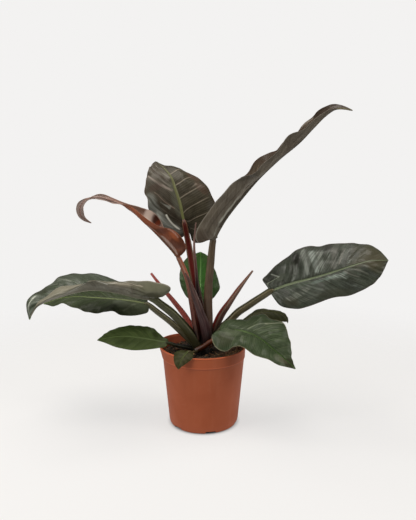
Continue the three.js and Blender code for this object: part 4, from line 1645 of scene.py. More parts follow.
UPPER = Leaf(
    name="upper", slot=Slot.BRONZE_LEAF, stalk_slot=Slot.RED_STALK,
    stalk=Rod(
        points=(
            (-4, 7, 174), (-5, 11, 221), (-13, 16, 268), (-22, 21, 313), (-30, 27, 361),
            (-38, 30, 404),
        ),
        width=(21, 11), depth=(16, 8), channel=(0, -1, 0.1),
    ),
    midrib=(
        (-40, 31, 411), (-44, 37, 432), (-50, 45, 454), (-58, 54, 476), (-66, 65, 497),
        (-81, 84, 515), (-102, 112, 532),
    ),
    left=(
        (-37, 38, 392), (-43, 41, 378), (-66, 43, 384), (-91, 42, 401), (-110, 41, 431),
        (-113, 43, 455), (-119, 48, 468), (-118, 57, 486), (-116, 68, 506), (-111, 86, 523),
    ),
    right=(
        (-31, 39, 389), (-25, 42, 370), (-10, 45, 366), (9, 47, 386), (23, 48, 416),
        (23, 52, 447), (7, 64, 477), (-8, 74, 494), (-33, 88, 508), (-59, 100, 519),
        (-81, 110, 519),
    ),
    bulge=((0.1, 0.07, 0.05), (0.1, 0.08, 0.08)), rush=(0.62, 0.8), wave=(1.6, 5, 0.4),
    veins=Veins(5.3, (0.75, 0.8), (0.6, 1.2), (0.6, 0.53), 0.04), relief=Relief(seed=12),
    upper=replace(
        BRONZE_UPPER, left=(66, 62, 53), right=(53, 50, 38), vein=(128, 120, 106),
        rib=((102, 106, 66), (94, 94, 72)), rib_width=(4.8, 1.2), painted_sheen_bands=0.15, painted_sheen_streaks=0.15,
        lines=0.3, vein_share=0.66, vein_left=0.35, vein_width=0.07, edge_share=0.5, level=0.1,
        coat=0.03,
        # The broad pale streaks on the left half and its lobe are painted sheen, the short bright
        # stroke is a painted glint, the white line is a painted highlight on the lobe's fold and
        # the dark line along it painted shade; the reddish ovals are the leaf's own colour.
        patches=(
            Patch(0.5, -0.62, (0.05, 0.28), (76, 56, 50), 0.3),
            Patch(0.36, -0.72, (0.05, 0.2), (52, 46, 36), 0.5),
            Patch(0.49, 0.78, (0.07, 0.2), (80, 60, 50), 0.4, 1.0),
            Patch(0.62, 0.85, (0.08, 0.25), (80, 60, 50), 0.45, 1.0),
            Streak((0.13, -0.14), (0.5, -0.12), 0.05, (88, 90, 78), 0.6, 0.0),
            Streak((0.42, -0.14), (0.66, -0.92), 0.024, (142, 132, 124), 0.7, 0.2, 0.8),
            Streak((0.48, -0.14), (0.7, -0.8), 0.018, (118, 114, 105), 0.7, 0.2, 0.8),
            Streak((0.6, -0.08), (0.84, -0.52), 0.035, (122, 120, 111), 0.7, 0.2, 0.8),
            Streak((0.56, -0.22), (0.76, -0.8), 0.012, (58, 44, 36), 0.7),
            Streak((0.68, -0.2), (0.86, -0.7), 0.008, (58, 46, 38), 0.6),
            Streak((0.21, -0.22), (0.45, -0.7), 0.008, (128, 112, 100), 0.6),
            Streak((0.25, -0.36), (0.34, -0.6), 0.026, (166, 170, 162), 0.7, 0.9, 0.8),
            Streak((0.38, -0.92), (0.08, -0.66), 0.08, (134, 138, 132), 0.8, 0.0),
            Streak((0.42, -0.95), (0.13, -0.42), 0.014, (42, 40, 30), 0.8),
            Streak((0.2, -0.56), (0.06, -0.6), 0.015, (214, 216, 206), 0.95, 0.0, 0.0),
            Streak((0.53, 0.7), (0.42, 0.25), 0.012, (136, 126, 114), 0.4, 0.9),
            Streak((0.26, -0.8), (0.1, -0.7), 0.02, (158, 162, 156), 0.5, 0.3, 0.4),
        ),
    ),
    under=BRONZE_UNDER, stalk_finish=RED,
)
NEWEST = Leaf(
    name="newest", slot=Slot.ORANGE_LEAF, stalk_slot=Slot.RUST_STALK,
    stalk=Rod(
        points=(
            (-11, -8, 176), (-19, -9, 226), (-27, -10, 278), (-36, -10, 312), (-50, -8, 343.4),
        ),
        width=(18, 10), depth=(15, 9), channel=(1, -0.6, 0.2),
    ),
    midrib=(
        (-50, -8, 344), (-63, -10, 361), (-84, -16, 385), (-108, -20, 410), (-133, -23, 434),
        (-158, -24, 451), (-182, -25, 459), (-203, -25, 463), (-222, -24, 460), (-235, -22, 448),
        (-238, -20, 436), (-235, -18, 424), (-218, -15, 412),
    ),
    left=(
        (-41, -14, 351), (-34, -20, 364), (-41, -25, 383), (-60, -30, 401), (-83, -36, 408),
        (-102, -37, 418), (-124, -34, 436), (-146, -30, 448), (-171, -27, 452), (-198, -26, 458),
        (-219, -25, 458), (-229, -23, 448), (-231, -21, 436), (-229, -18, 423),
    ),
    right=(
        (-57, 2, 363), (-73, 10, 386), (-85, 14, 415), (-102, 12, 432), (-126, 8, 442),
        (-148, -2, 448), (-172, -16, 460), (-198, -22, 468), (-219, -22, 462), (-238, -21, 454),
        (-245, -19, 441), (-242, -17, 426), (-232, -16, 417),
    ),
    bulge=((-0.34, -0.2, 0), (-0.3, -0.2, 0)), rush=(0.92, 0.92), wave=(0.8, 6, 0.1),
    veins=Veins(12, (0.3, 0.3)), relief=Relief(quilt=0.4, lumps=0.5, ripple=0.4, seed=13),
    upper=replace(
        BRONZE_UPPER, left=(124, 98, 90), right=(134, 104, 92), deep=(70, 42, 32),
        painted_sheen=(180, 160, 150), vein=(150, 110, 92), rib=((170, 120, 104), (120, 92, 84)),
        edge=(196, 172, 160), edge_share=0.7, aspect=0.12,
        # The near-black oval is painted shade inside the rolled lobe's open end, and the pale
        # ovals round it are a painted highlight on its curled rim.
        patches=(
            Patch(0.41, 0.95, (0.1, 0.4), (92, 62, 46), 0.85, 0.5),
            Patch(0.315, 0.93, (0.04, 0.4), (192, 174, 166), 0.85, 0.2),
            Patch(0.275, 0.8, (0.08, 0.7), (192, 174, 163), 0.95, 0.2),
            Patch(0.25, 0.88, (0.05, 0.5), (66, 26, 10), 0.98, 0.0),
            Patch(0.235, 0.75, (0.02, 0.3), (128, 52, 24), 0.6, 0.1),
            Patch(0.82, 0.0, (0.3, 2.0), (134, 120, 114), 0.85, 0.2),
        ),
    ),
    under=replace(
        BRONZE_UNDER, left=(130, 74, 50), right=(134, 96, 82), deep=(90, 50, 35),
        painted_sheen=(170, 110, 84), vein=(170, 104, 74), rib=((104, 78, 64), (124, 82, 66)),
        rib_width=(5.0, 1.0), edge=(186, 128, 104), roughness=0.36, coat=0.08, aspect=0.12,
        # The bright orange oval and the pale stroke along the top edge are painted highlights.
        patches=(
            Patch(0.25, -0.65, (0.05, 0.45), (86, 50, 38), 0.75),
            Patch(0.13, -0.65, (0.06, 0.3), (76, 42, 28), 0.7, 1.2),
            Patch(0.04, -0.8, (0.05, 0.35), (92, 54, 38), 0.7, 1.2),
            Patch(0.4, -0.75, (0.12, 0.4), (142, 80, 56), 0.5),
            Patch(0.18, -0.82, (0.06, 0.14), (156, 86, 54), 0.6, 0.8),
            Patch(0.6, -0.2, (0.14, 1.2), (128, 88, 74), 0.6),
            Patch(0.82, 0.0, (0.3, 2.0), (136, 120, 113), 0.85, 0.2),
            Streak((0.24, -0.95), (0.16, -0.9), 0.006, (176, 136, 122), 0.7, 0.0),
            Streak((0.14, -0.96), (0.02, -0.96), 0.02, (84, 44, 28), 0.8, 0.0),
            Streak((0.2, -0.32), (0.04, -0.4), 0.016, (178, 156, 146), 0.85, 0.0),
            Streak((0.2, -0.12), (0.04, -0.16), 0.014, (92, 74, 60), 0.85, 0.0),
        ),
    ),
    stalk_finish=RUST, rows=170,
)
RIGHT = Leaf(
    name="right", slot=Slot.BRONZE_LEAF, stalk_slot=Slot.OLIVE_STALK,
    stalk=Rod(
        points=(
            (15, -2, 168), (31, -3, 191), (50, -4, 210), (69, -7, 231), (89, -10, 246),
            (110, -15, 262), (131.6, -19.9, 277.6),
        ),
        width=(19, 13), depth=(19, 13), channel=(-0.6, -0.2, 1),
    ),
    midrib=(
        (132, -20, 278), (169, -30, 294), (206, -39, 306), (242, -48, 319), (278, -58, 334),
        (313, -66, 346), (345, -72, 348),
    ),
    left=(
        (124, -15, 288), (117, -8, 298), (127, -1, 308), (152, 6, 328), (184, 10, 354),
        (217, 7, 364), (249, 1, 370), (266, -6, 369), (288, -12, 371), (316, -24, 368),
        (339, -46, 358),
    ),
    right=(
        (137, -27, 268), (151, -40, 255), (173, -49, 251), (197, -56, 255), (220, -62, 265),
        (242, -67, 276), (272, -74, 281), (300, -78, 294), (327, -78, 316),
    ),
    bulge=((0.1, 0.08, 0.06), (0.12, 0.1, 0.06)), rush=(0.8, 0.75), wave=(2, 5, 0.55),
    veins=Veins(11, (0.175, 0.2)), relief=Relief(quilt=1.4, lumps=2.0, seed=14),
    upper=replace(
        BRONZE_UPPER, left=(54, 59, 49), right=(51, 57, 46), deep=(26, 28, 20),
        painted_sheen=(122, 130, 122), vein=(104, 112, 101), rib=((126, 138, 110), (86, 98, 70)),
        rib_width=(2.9, 0.7), painted_sheen_bands=0.35, painted_sheen_streaks=0.5, lines=0.5, vein_share=0.4, vein_width=0.05,
        fine_share=0.2, level=0.2,
        # The pale streaks are painted sheen and highlights on the quilted blade, and the thin dark
        # streaks across it are painted shade in its creases.
        patches=(
            Streak((0.335, -0.88), (0.345, -0.15), 0.022, (138, 144, 137), 0.7, 0.0, 0.6),
            Streak((0.39, -0.75), (0.42, -0.15), 0.026, (146, 156, 149), 0.75, 0.0, 0.7),
            Streak((0.44, -0.7), (0.46, -0.15), 0.028, (128, 136, 127), 0.6, 0.0, 0.75),
            Streak((0.56, -0.72), (0.56, -0.15), 0.03, (112, 112, 105), 0.5, 0.0, 0.75),
            Streak((0.62, -0.75), (0.6, -0.2), 0.014, (126, 124, 116), 0.5, 0.0, 0.75),
            Patch(0.5, -0.85, (0.05, 0.22), (46, 46, 42), 0.8, 0.8),
            Patch(0.55, -0.68, (0.04, 0.25), (76, 76, 70), 0.6, 0.8),
            Streak((0.69, -0.3), (0.7, -0.85), 0.026, (50, 50, 38), 0.8, 0.0, 0.2),
            Streak((0.66, -0.1), (0.96, -0.08), 0.012, (42, 45, 29), 0.8, 0.0, 0.2),
            Patch(0.14, -0.42, (0.05, 0.22), (92, 98, 86), 0.55),
            Patch(0.08, -0.75, (0.07, 0.3), (34, 36, 30), 0.7),
            Patch(0.285, -0.66, (0.032, 0.34), (26, 27, 20), 0.95, 0.3),
            Patch(0.17, -0.45, (0.05, 0.3), (56, 62, 54), 0.5),
            Patch(0.85, -0.35, (0.2, 0.9), (64, 62, 46), 0.75, 0.9),
            Patch(0.93, 0.0, (0.16, 1.2), (66, 62, 45), 0.6),
            Streak((0.65, -0.1), (0.67, -0.7), 0.01, (34, 34, 25), 0.7, 0.3, 0.2),
            Streak((0.15, 0.16), (0.34, 0.16), 0.03, (58, 72, 54), 0.6, 0.0, 0.2),
            Streak((0.36, 0.22), (0.62, 0.18), 0.03, (108, 124, 114), 0.7, 0.0, 0.6),
            Streak((0.55, 0.16), (0.61, 0.36), 0.032, (150, 162, 154), 0.75, 0.2, 0.85),
            Streak((0.64, 0.14), (0.7, 0.5), 0.02, (116, 114, 107), 0.6, 0.3, 0.85),
            Streak((0.72, 0.2), (0.77, 0.56), 0.022, (108, 108, 100), 0.6, 0.3, 0.9),
            Streak((0.43, 0.14), (0.51, 0.66), 0.009, (34, 36, 27), 0.75, 0.2, 0.2),
            Streak((0.57, 0.1), (0.66, 0.6), 0.009, (36, 38, 28), 0.75, 0.2, 0.2),
            Patch(0.13, 0.75, (0.08, 0.25), (56, 54, 42), 0.7, 1.0),
            Patch(0.45, 0.8, (0.2, 0.2), (50, 52, 40), 0.6, 1.0),
            Streak((0.14, 0.6), (0.3, 0.34), 0.042, (126, 131, 121), 0.7, 0.2, 0.9),
            Streak((0.2, 0.76), (0.34, 0.7), 0.03, (98, 102, 93), 0.5, 0.2, 0.9),
            Streak((0.02, -0.58), (0.13, -0.5), 0.008, (150, 160, 140), 0.8, 0.3, 0.2),
            Streak((0.13, -0.5), (0.1, -0.85), 0.007, (150, 156, 146), 0.7, 0.3, 0.2),
        ),
    ),
    under=BRONZE_UNDER, stalk_finish=OLIVE,
)
LEFT_FOLDED = Leaf(
    name="left_folded", slot=Slot.BRONZE_LEAF, stalk_slot=Slot.OLIVE_STALK,
    stalk=Rod(
        points=(
            (-10, -9, 160), (-25, -11, 186), (-42, -17, 210), (-60, -25, 233), (-79, -33, 251),
            (-97, -39.6, 267),
        ),
        width=(23, 13), depth=(23, 14), channel=(0.7, -0.2, 1),
    ),
    midrib=(
        (-98, -40, 268), (-122, -49, 273), (-151, -60, 283), (-179, -70, 291), (-207, -80, 295),
        (-235, -88, 292), (-264, -95, 284), (-288, -101, 276), (-305, -106, 266),
        (-318, -108, 244),
    ),
    left=(
        (-85, -40, 278), (-70, -40, 281), (-65, -40, 291), (-86, -42, 301), (-122, -46, 302),
        (-155, -56, 304), (-187, -67, 304), (-218, -79, 303), (-250, -89, 301), (-274, -96, 295),
        (-291, -101, 285), (-305, -105, 272),
    ),
    right=(
        (-89, -32, 277), (-80, -20, 287), (-103, -8, 292), (-140, 0, 290), (-170, 0, 294),
        (-198, -8, 305), (-227, -20, 314), (-255, -32, 314), (-279, -46, 309), (-300, -62, 295),
        (-314, -80, 284), (-323, -96, 276), (-322, -105, 261),
    ),
    bulge=((0.2, -1.2, -0.3), (0.08, 0.06, 0.04)), rush=(0.9, 0.85), wave=(2.5, 4.4, 0.2),
    veins=Veins(11, (0.25, 0.25)), relief=Relief(seed=15),
    upper=replace(
        BRONZE_UPPER, left=(42, 50, 35), right=(44, 52, 36), deep=(26, 33, 20),
        painted_sheen=(132, 140, 130), vein=(86, 98, 78), rib=((104, 120, 76), (96, 110, 76)), painted_sheen_bands=0.5,
        painted_sheen_streaks=0.4,
        # The pale streaks are painted highlights on the far half and its hanging tip.
        patches=(
            Patch(0.78, 0.78, (0.05, 0.35), (42, 46, 32), 0.7),
            Streak((0.6, 0.5), (0.66, 0.92), 0.02, (128, 132, 123), 0.6, 0.2, 0.8),
            Streak((0.68, 0.6), (0.73, 0.92), 0.012, (110, 114, 104), 0.5, 0.2, 0.8),
            Streak((0.85, 0.72), (0.97, 0.6), 0.03, (176, 182, 170), 0.8),
        ),
    ),
    under=replace(
        BRONZE_UNDER, left=(100, 98, 84), right=(98, 97, 83), deep=(66, 64, 48),
        painted_sheen=(140, 136, 124), vein=(116, 112, 98), rib=((120, 116, 98), (140, 138, 124)),
        edge=(160, 154, 142), edge_share=0.6,
        # The pale streaks are painted highlights on the folded half, and the thin dark ones that
        # run out along the blade are painted shade in its creases.
        patches=(
            Patch(0.7, -0.45, (0.28, 0.7), (122, 120, 106), 0.6),
            Patch(0.14, -0.8, (0.18, 0.7), (86, 88, 70), 0.75),
            Patch(0.13, -0.42, (0.07, 0.3), (60, 60, 42), 0.9),
            Streak((0.2, -0.3), (0.5, -0.16), 0.01, (52, 48, 35), 0.8, 0.5, 0.2),
            Streak((0.2, -0.5), (0.56, -0.34), 0.009, (58, 53, 40), 0.8, 0.5, 0.2),
            Streak((0.25, -0.72), (0.64, -0.55), 0.011, (150, 142, 131), 0.7, 0.3, 0.2),
            Streak((0.22, -0.62), (0.4, -0.66), 0.007, (62, 56, 43), 0.7, 0.3, 0.2),
            Streak((0.3, -0.6), (0.6, -0.44), 0.009, (142, 136, 123), 0.65, 0.3, 0.2),
            Streak((0.34, -0.8), (0.6, -0.72), 0.007, (70, 64, 50), 0.6, 0.3, 0.2),
            Patch(0.36, -0.4, (0.08, 0.3), (118, 112, 98), 0.6, 0.8),
            Streak((0.34, -0.86), (0.44, -0.36), 0.01, (160, 158, 148), 0.85, 0.0, 0.1),
            Streak((0.43, -0.36), (0.64, -0.34), 0.012, (186, 187, 176), 0.9, 0.2, 0.1),
            Streak((0.14, -0.5), (0.24, -0.2), 0.012, (60, 60, 44), 0.8, 0.3, 0.2),
            Streak((0.66, -0.42), (0.88, -0.78), 0.011, (148, 147, 133), 0.7, 0.0, 0.1),
            Streak((0.3, -0.2), (0.72, -0.3), 0.009, (62, 58, 44), 0.7, 0.3, 0.2),
        ),
    ),
    stalk_finish=replace(
        OLIVE, stops=((0.0, (18, 14, 7)), (0.25, (54, 53, 28)), (1.0, (66, 69, 38))),
        channel=((0.0, (16, 14, 6)), (1.0, (54, 58, 30))), ridge=(84, 86, 54),
        streak=(42, 42, 22),
    ),
)
LEFT_LOWER = Leaf(
    name="left_lower", slot=Slot.GREEN_LEAF, stalk_slot=Slot.OLIVE_STALK,
    stalk=Rod(
        points=(
            (-18, 4, 160), (-36, 8, 178), (-55, 11, 195), (-73, 14, 210), (-94, 18, 225),
            (-114.5, 19.8, 240.5),
        ),
        width=(16, 11), depth=(16, 11), channel=(0.7, -0.1, 1),
    ),
    midrib=(
        (-116, 20, 242), (-152, 22, 248), (-189, 25, 251), (-227, 28, 253), (-265, 32, 254),
        (-299, 34, 250), (-334, 36, 238),
    ),
    left=(
        (-112, 13, 235), (-116, 0, 228), (-139, -14, 228), (-164, -22, 230), (-183, -26, 238),
        (-208, -27, 236), (-234, -24, 236), (-258, -14, 245), (-284, 2, 245), (-312, 20, 239),
    ),
    right=(
        (-117, 30, 249), (-130, 46, 254), (-157, 62, 260), (-197, 74, 263), (-236, 78, 265),
        (-274, 74, 264), (-306, 62, 260), (-323, 48, 251),
    ),
    bulge=((0.14, 0.1, 0.06), (0.1, 0.08, 0.06)), rush=(0.8, 0.8), wave=(2, 4, 0.3),
    veins=Veins(10, (0.25, 0.25)), relief=Relief(seed=16),
    upper=replace(
        GREEN_UPPER, left=(46, 53, 35), right=(40, 48, 28), painted_sheen=(96, 104, 86),
        rib=((116, 126, 84), (92, 110, 62)), rib_width=(3.0, 1.1), level=0.07, coat=0.02,
        # The pale ovals and the pale streak are painted light and sheen, brightening the blade
        # where the folded leaf above shades it.
        patches=(
            Patch(0.2, 0.0, (0.2, 1.2), (68, 76, 56), 0.5),
            Patch(0.24, -0.4, (0.08, 0.35), (100, 108, 90), 0.7),
            Patch(0.1, -0.6, (0.14, 0.6), (88, 96, 76), 0.6, 0.6),
            Streak((0.12, -0.3), (0.2, -0.8), 0.014, (118, 124, 104), 0.7, 0.3, 0.5),
            Patch(0.5, -0.75, (0.1, 0.3), (38, 44, 28), 0.5),
        ),
    ),
    under=GREEN_UNDER,
    stalk_finish=replace(
        OLIVE, stops=((0.0, (28, 24, 12)), (0.3, (84, 80, 58)), (1.0, (108, 106, 80))),
        ridge=(130, 128, 102), streak=(60, 58, 36),
    ),
)
FRONT_RIGHT = Leaf(
    name="front_right", slot=Slot.GREEN_LEAF, stalk_slot=Slot.RUST_STALK,
    stalk=Rod(
        points=(
            (-13, -18, 156), (1, -24, 166), (15, -30, 178), (31, -36, 190), (44.6, -39.6, 200),
        ),
        width=(14, 9), depth=(13, 9), channel=(-0.3, 0.3, 1),
    ),
    midrib=(
        (46, -40, 201), (65, -48, 205), (84, -56, 204), (103, -66, 198), (119, -76, 189),
        (137, -88, 176), (155, -100, 163), (171, -110, 150),
    ),
    left=(
        (37, -36, 202), (32, -30, 205), (38, -24, 211), (53, -18, 218), (85, -18, 218),
        (104, -22, 227), (120, -27, 232), (136, -38, 225), (154, -54, 222), (162, -70, 205),
        (165, -84, 184), (166, -99, 164),
    ),
    right=(
        (30, -46, 201), (17, -55, 197), (22, -66, 180), (40, -76, 173), (58, -84, 185),
        (75, -92, 185), (98, -101, 174), (124, -108, 166), (149, -113, 157),
    ),
    bulge=((0.12, 0.16, 0.08), (0.22, 0.14, 0.08)), rush=(0.7, 0.8), wave=(1.5, 4, 0.1),
    veins=Veins(9, (0.19, 0.19)), relief=Relief(seed=17),
    upper=replace(
        GREEN_UPPER, left=(54, 67, 44), right=(53, 66, 43), painted_sheen=(108, 118, 98),
        vein=(100, 112, 84), rib=((84, 102, 64), (78, 104, 56)), rib_width=(3.2, 1.2),
        edge=(124, 120, 98), edge_share=0.7, painted_sheen_bands=0.15, fine_share=0.3, painted_sheen_streaks=0.3, lines=0.35,
        level=0.1,
        # The pale streaks are painted sheen and highlights on the blade's waves and fold.
        patches=(
            Patch(0.2, 0.65, (0.1, 0.35), (54, 56, 38), 0.6),
            Patch(0.16, 0.25, (0.12, 0.3), (88, 96, 76), 0.5),
            Patch(0.62, 0.35, (0.16, 0.4), (46, 60, 36), 0.5),
            Streak((0.19, -0.1), (0.33, -0.6), 0.012, (100, 108, 88), 0.6, 0.2, 0.6),
            Streak((0.26, -0.15), (0.4, -0.6), 0.012, (132, 140, 118), 0.7, 0.2, 0.4),
            Streak((0.4, -0.6), (0.52, -0.95), 0.014, (140, 146, 124), 0.7, 0.2, 0.3),
            Streak((0.33, -0.12), (0.46, -0.6), 0.008, (104, 116, 90), 0.7, 0.3, 0.3),
            Streak((0.4, -0.12), (0.54, -0.66), 0.008, (98, 112, 86), 0.7, 0.3, 0.3),
            Streak((0.47, -0.12), (0.6, -0.66), 0.007, (90, 106, 78), 0.6, 0.3, 0.3),
            Streak((0.54, -0.12), (0.66, -0.6), 0.007, (86, 102, 74), 0.6, 0.3, 0.3),
            Streak((0.3, 0.3), (0.4, 0.78), 0.02, (116, 122, 106), 0.55, 0.3, 0.6),
            Streak((0.42, 0.2), (0.5, 0.7), 0.008, (96, 108, 82), 0.5, 0.3, 0.5),
            Patch(0.78, 0.4, (0.08, 0.4), (98, 102, 84), 0.5, 0.3),
            Patch(0.94, 0.1, (0.13, 1.3), (44, 44, 29), 0.85, 0.7),
            Patch(0.84, 0.3, (0.06, 0.4), (76, 74, 58), 0.6, 0.6),
        ),
    ),
    under=GREEN_UNDER,
    stalk_finish=replace(
        RUST, stops=((0.0, (20, 5, 2)), (0.4, (78, 32, 10)), (1.0, (138, 72, 30))),
        channel=((0.0, (20, 5, 2)), (0.4, (82, 34, 10)), (1.0, (140, 74, 32))),
        ridge=(112, 62, 28), streak=(72, 28, 10), coat=0.02,
    ),
)
LOW_RIGHT = Leaf(
    name="low_right", slot=Slot.GREEN_LEAF, stalk_slot=Slot.RUST_STALK,
    stalk=Rod(
        points=((8, 5, 155), (32, 16, 166), (50, 22, 182), (70.8, 27.6, 196)), width=(11, 7),
        depth=(9, 6), channel=(-0.4, -0.2, 1),
    ),
    midrib=(
        (72, 28, 197), (97, 32, 211), (122, 34, 220), (147, 34, 220), (166, 33, 214),
        (176, 32, 198),
    ),
    left=(
        (77, 38, 199), (98, 52, 210), (124, 60, 220), (152, 60, 219), (172, 50, 213),
        (177, 40, 205),
    ),
    right=(
        (67, 20, 193), (81, 8, 194), (102, 0, 202), (129, -2, 209), (154, 6, 209), (173, 22, 203),
    ),
    bulge=((0.12, 0.12, 0.06), (0.12, 0.12, 0.06)), rush=(0.85, 0.85), wave=(1, 3, 0.2),
    veins=Veins(8, (0.25, 0.25)), relief=Relief(quilt=0.6, lumps=0.8, ripple=0.5, seed=18),
    upper=replace(
        GREEN_UPPER, left=(52, 54, 26), right=(50, 52, 25), deep=(26, 27, 12), painted_sheen=(86, 88, 62),
        vein=(60, 62, 38), rib=((72, 74, 44), (64, 66, 40)), edge=(90, 84, 62), level=0.08,
        # Its pale streak is painted sheen.
        coat=0.02, patches=(Streak((0.2, -0.5), (0.7, -0.4), 0.03, (92, 96, 66), 0.5, 0.2, 0.8),),
    ),
    under=GREEN_UNDER, stalk_finish=RUST, rows=110, columns=20,
)
LOW_LEFT = Leaf(
    name="low_left", slot=Slot.GREEN_LEAF, stalk_slot=Slot.OLIVE_STALK,
    stalk=Rod(
        points=((-20, -6, 155), (-38, -7, 159), (-56, -8, 163), (-73, -11.7, 169.6)),
        width=(12, 8), depth=(9, 6), channel=(0.4, -0.1, 1),
    ),
    midrib=(
        (-74, -12, 170), (-96, -15, 175), (-123, -19, 181), (-151, -22, 185), (-180, -26, 185),
        (-211, -29, 180),
    ),
    left=(
        (-75, -20, 165), (-93, -28, 164), (-118, -34, 162), (-141, -37, 163), (-169, -38, 168),
        (-193, -34, 176),
    ),
    right=(
        (-72, -8, 175), (-84, -3, 180), (-103, 3, 194), (-124, 4, 199), (-150, 0, 201),
        (-175, -8, 198), (-196, -17, 191),
    ),
    bulge=((0.1, 0.08, 0.05), (0.1, 0.08, 0.05)), rush=(0.85, 0.85), wave=(0.8, 3, 0.35),
    veins=Veins(7, (0.25, 0.25)), relief=Relief(quilt=0.6, lumps=0.8, ripple=0.5, seed=19),
    upper=replace(
        GREEN_UPPER, left=(76, 91, 51), right=(78, 95, 51), deep=(50, 62, 32),
        painted_sheen=(104, 118, 80), rib=((104, 120, 80), (94, 114, 64)), rib_width=(2.2, 0.8),
        painted_sheen_bands=0.15, vein_share=0.15,
        # The pale streak is painted sheen.
        patches=(
            Patch(0.06, 0.0, (0.1, 1.2), (84, 90, 66), 0.6),
            Patch(0.18, 0.5, (0.06, 0.3), (40, 44, 22), 0.6),
            Patch(0.5, 0.7, (0.24, 0.35), (60, 76, 38), 0.6, 0.9),
            Patch(0.62, -0.5, (0.14, 0.35), (56, 70, 34), 0.6, 0.9),
            Streak((0.3, 0.25), (0.46, 0.6), 0.02, (98, 114, 72), 0.5, 0.3, 0.8),
        ),
    ),
    under=GREEN_UNDER,
    stalk_finish=replace(
        OLIVE, stops=((0.0, (5, 4, 3)), (0.6, (14, 14, 9)), (1.0, (70, 76, 50))),
        channel=((0.0, (5, 4, 3)), (0.6, (14, 14, 9)), (1.0, (66, 72, 46))), ridge=(60, 62, 42),
    ),
    rows=110, columns=20,
)
OVER_RIM = Leaf(
    name="over_rim", slot=Slot.GREEN_LEAF, stalk_slot=Slot.OLIVE_STALK,
    stalk=Rod(
        points=((-11, -16, 154), (-17, -34, 158), (-22, -52, 163), (-27.3, -66.6, 169.4)),
        width=(9, 5), depth=(7, 4), channel=(0, 0.3, 1),
    ),
    midrib=((-28, -68, 170), (-35, -77, 166), (-42, -86, 157), (-47, -92, 143)),
    left=((-21, -68, 169), (-20, -78, 165), (-22, -86, 161), (-29, -89, 156), (-40, -92, 149)),
    right=((-37, -66, 172), (-51, -68, 170), (-56, -76, 162), (-53, -88, 151)),
    bulge=((0.1, 0.1, 0.05), (0.1, 0.1, 0.05)), rush=(0.9, 0.9), wave=(0.4, 2, 0.2),
    veins=Veins(5, (0.25, 0.25)), relief=Relief(quilt=0.3, lumps=0.3, ripple=0.2, seed=20),
    upper=replace(
        GREEN_UPPER, left=(44, 46, 25), right=(46, 50, 27), deep=(28, 28, 14), painted_sheen=(84, 80, 58),
        vein=(78, 80, 52), rib=((70, 78, 46), (76, 80, 50)), vein_share=0.25, level=0.06,
        coat=0.0, patches=(Patch(0.08, 0.0, (0.12, 1.0), (32, 24, 13), 0.7),),
    ),
    under=GREEN_UNDER, stalk_finish=OLIVE, rows=80, columns=16,
)
REAR = Leaf(
    name="rear", slot=Slot.BRIGHT_LEAF, stalk_slot=Slot.OLIVE_STALK,
    stalk=Rod(
        points=((-1, 14, 158), (-6, 34, 180), (-8, 54, 205), (-8, 67.4, 231)), width=(13, 7),
        depth=(10, 6), channel=(0, -1, 0.6),
    ),
    midrib=((-8, 68, 232), (-8, 75, 259), (-8, 85, 288), (-7, 95, 315), (-7, 104, 338)),
    left=(
        (-19, 70, 233), (-35, 73, 243), (-47, 79, 261), (-52, 86, 284), (-47, 93, 309),
        (-32, 100, 329),
    ),
    right=(
        (3, 70, 233), (19, 73, 241), (34, 79, 261), (31, 85, 279), (22, 93, 303), (9, 100, 328),
    ),
    bulge=((0.1, 0.08, 0.05), (0.1, 0.08, 0.05)), rush=(0.8, 0.8), wave=(0.8, 3, 0.2),
    veins=Veins(7, (0.3, 0.3)), relief=Relief(quilt=0.6, lumps=0.8, ripple=0.4, seed=21),
    upper=replace(
        GREEN_UPPER, left=(60, 76, 50), right=(60, 74, 50), deep=(36, 70, 24),
        painted_sheen=(84, 124, 60), vein=(82, 132, 56), rib=((100, 146, 70), (92, 138, 62)),
        # The brighter green oval in the middle is painted light shining through the blade.
        patches=(Patch(0.55, 0.05, (0.5, 0.55), (54, 100, 38), 0.75, 0.3),),
    ),
    under=GREEN_UNDER, stalk_finish=OLIVE, rows=110, columns=20,
)

LEAVES = (
    TALL_RIGHT, UPPER, NEWEST, RIGHT, LEFT_FOLDED, LEFT_LOWER, FRONT_RIGHT, LOW_RIGHT, LOW_LEFT,
    OVER_RIM, REAR,
)

SHEATH_FRONT = Spike(
    name="sheath_front", slot=Slot.PURPLE_STALK,
    rod=Rod(
        points=(
            (10, -16, 172), (3, -18, 206), (-5, -20, 231), (-13, -22, 256), (-21, -22, 280),
            (-28, -22, 299), (-36, -22, 315),
        ),
        width=(22, 3), depth=(11, 2), channel=(0, 1, 0.2),
    ),
    finish=PURPLE,
)
SHEATH_LEFT = Spike(
    name="sheath_left", slot=Slot.RED_STALK,
    rod=Rod(
        points=((-12, 15, 170), (-34, 23, 209), (-56, 29, 238), (-83, 34, 270), (-109, 38, 303)),
        width=(12, 5), depth=(14, 5), channel=(0.7, 0, 1),
    ),
    finish=replace(
        RED, stops=((0.0, (50, 14, 12)), (0.2, (156, 72, 60)), (1.0, (184, 96, 90))),
        channel=((0.0, (90, 28, 22)), (1.0, (170, 86, 80))), ridge=(178, 104, 96),
        streak=(126, 56, 50),
    ),
)
SHEATH_RIGHT = Spike(
    name="sheath_right", slot=Slot.RED_STALK,
    rod=Rod(
        points=((15, 6, 172), (33, 13, 216), (53, 15, 247), (75, 17, 279), (100, 18, 312)),
        width=(13, 4), depth=(19, 3.6), channel=(-0.7, 0, 1),
    ),
    finish=replace(
        RED, stops=((0.0, (50, 16, 13)), (0.3, (110, 76, 66)), (1.0, (130, 102, 88))),
        channel=((0.0, (84, 12, 9)), (0.25, (134, 34, 24)), (1.0, (132, 84, 66))),
        ridge=(176, 146, 126), streak=(70, 36, 30), channel_reach=0.18, ridge_share=0.7,
    ),
)
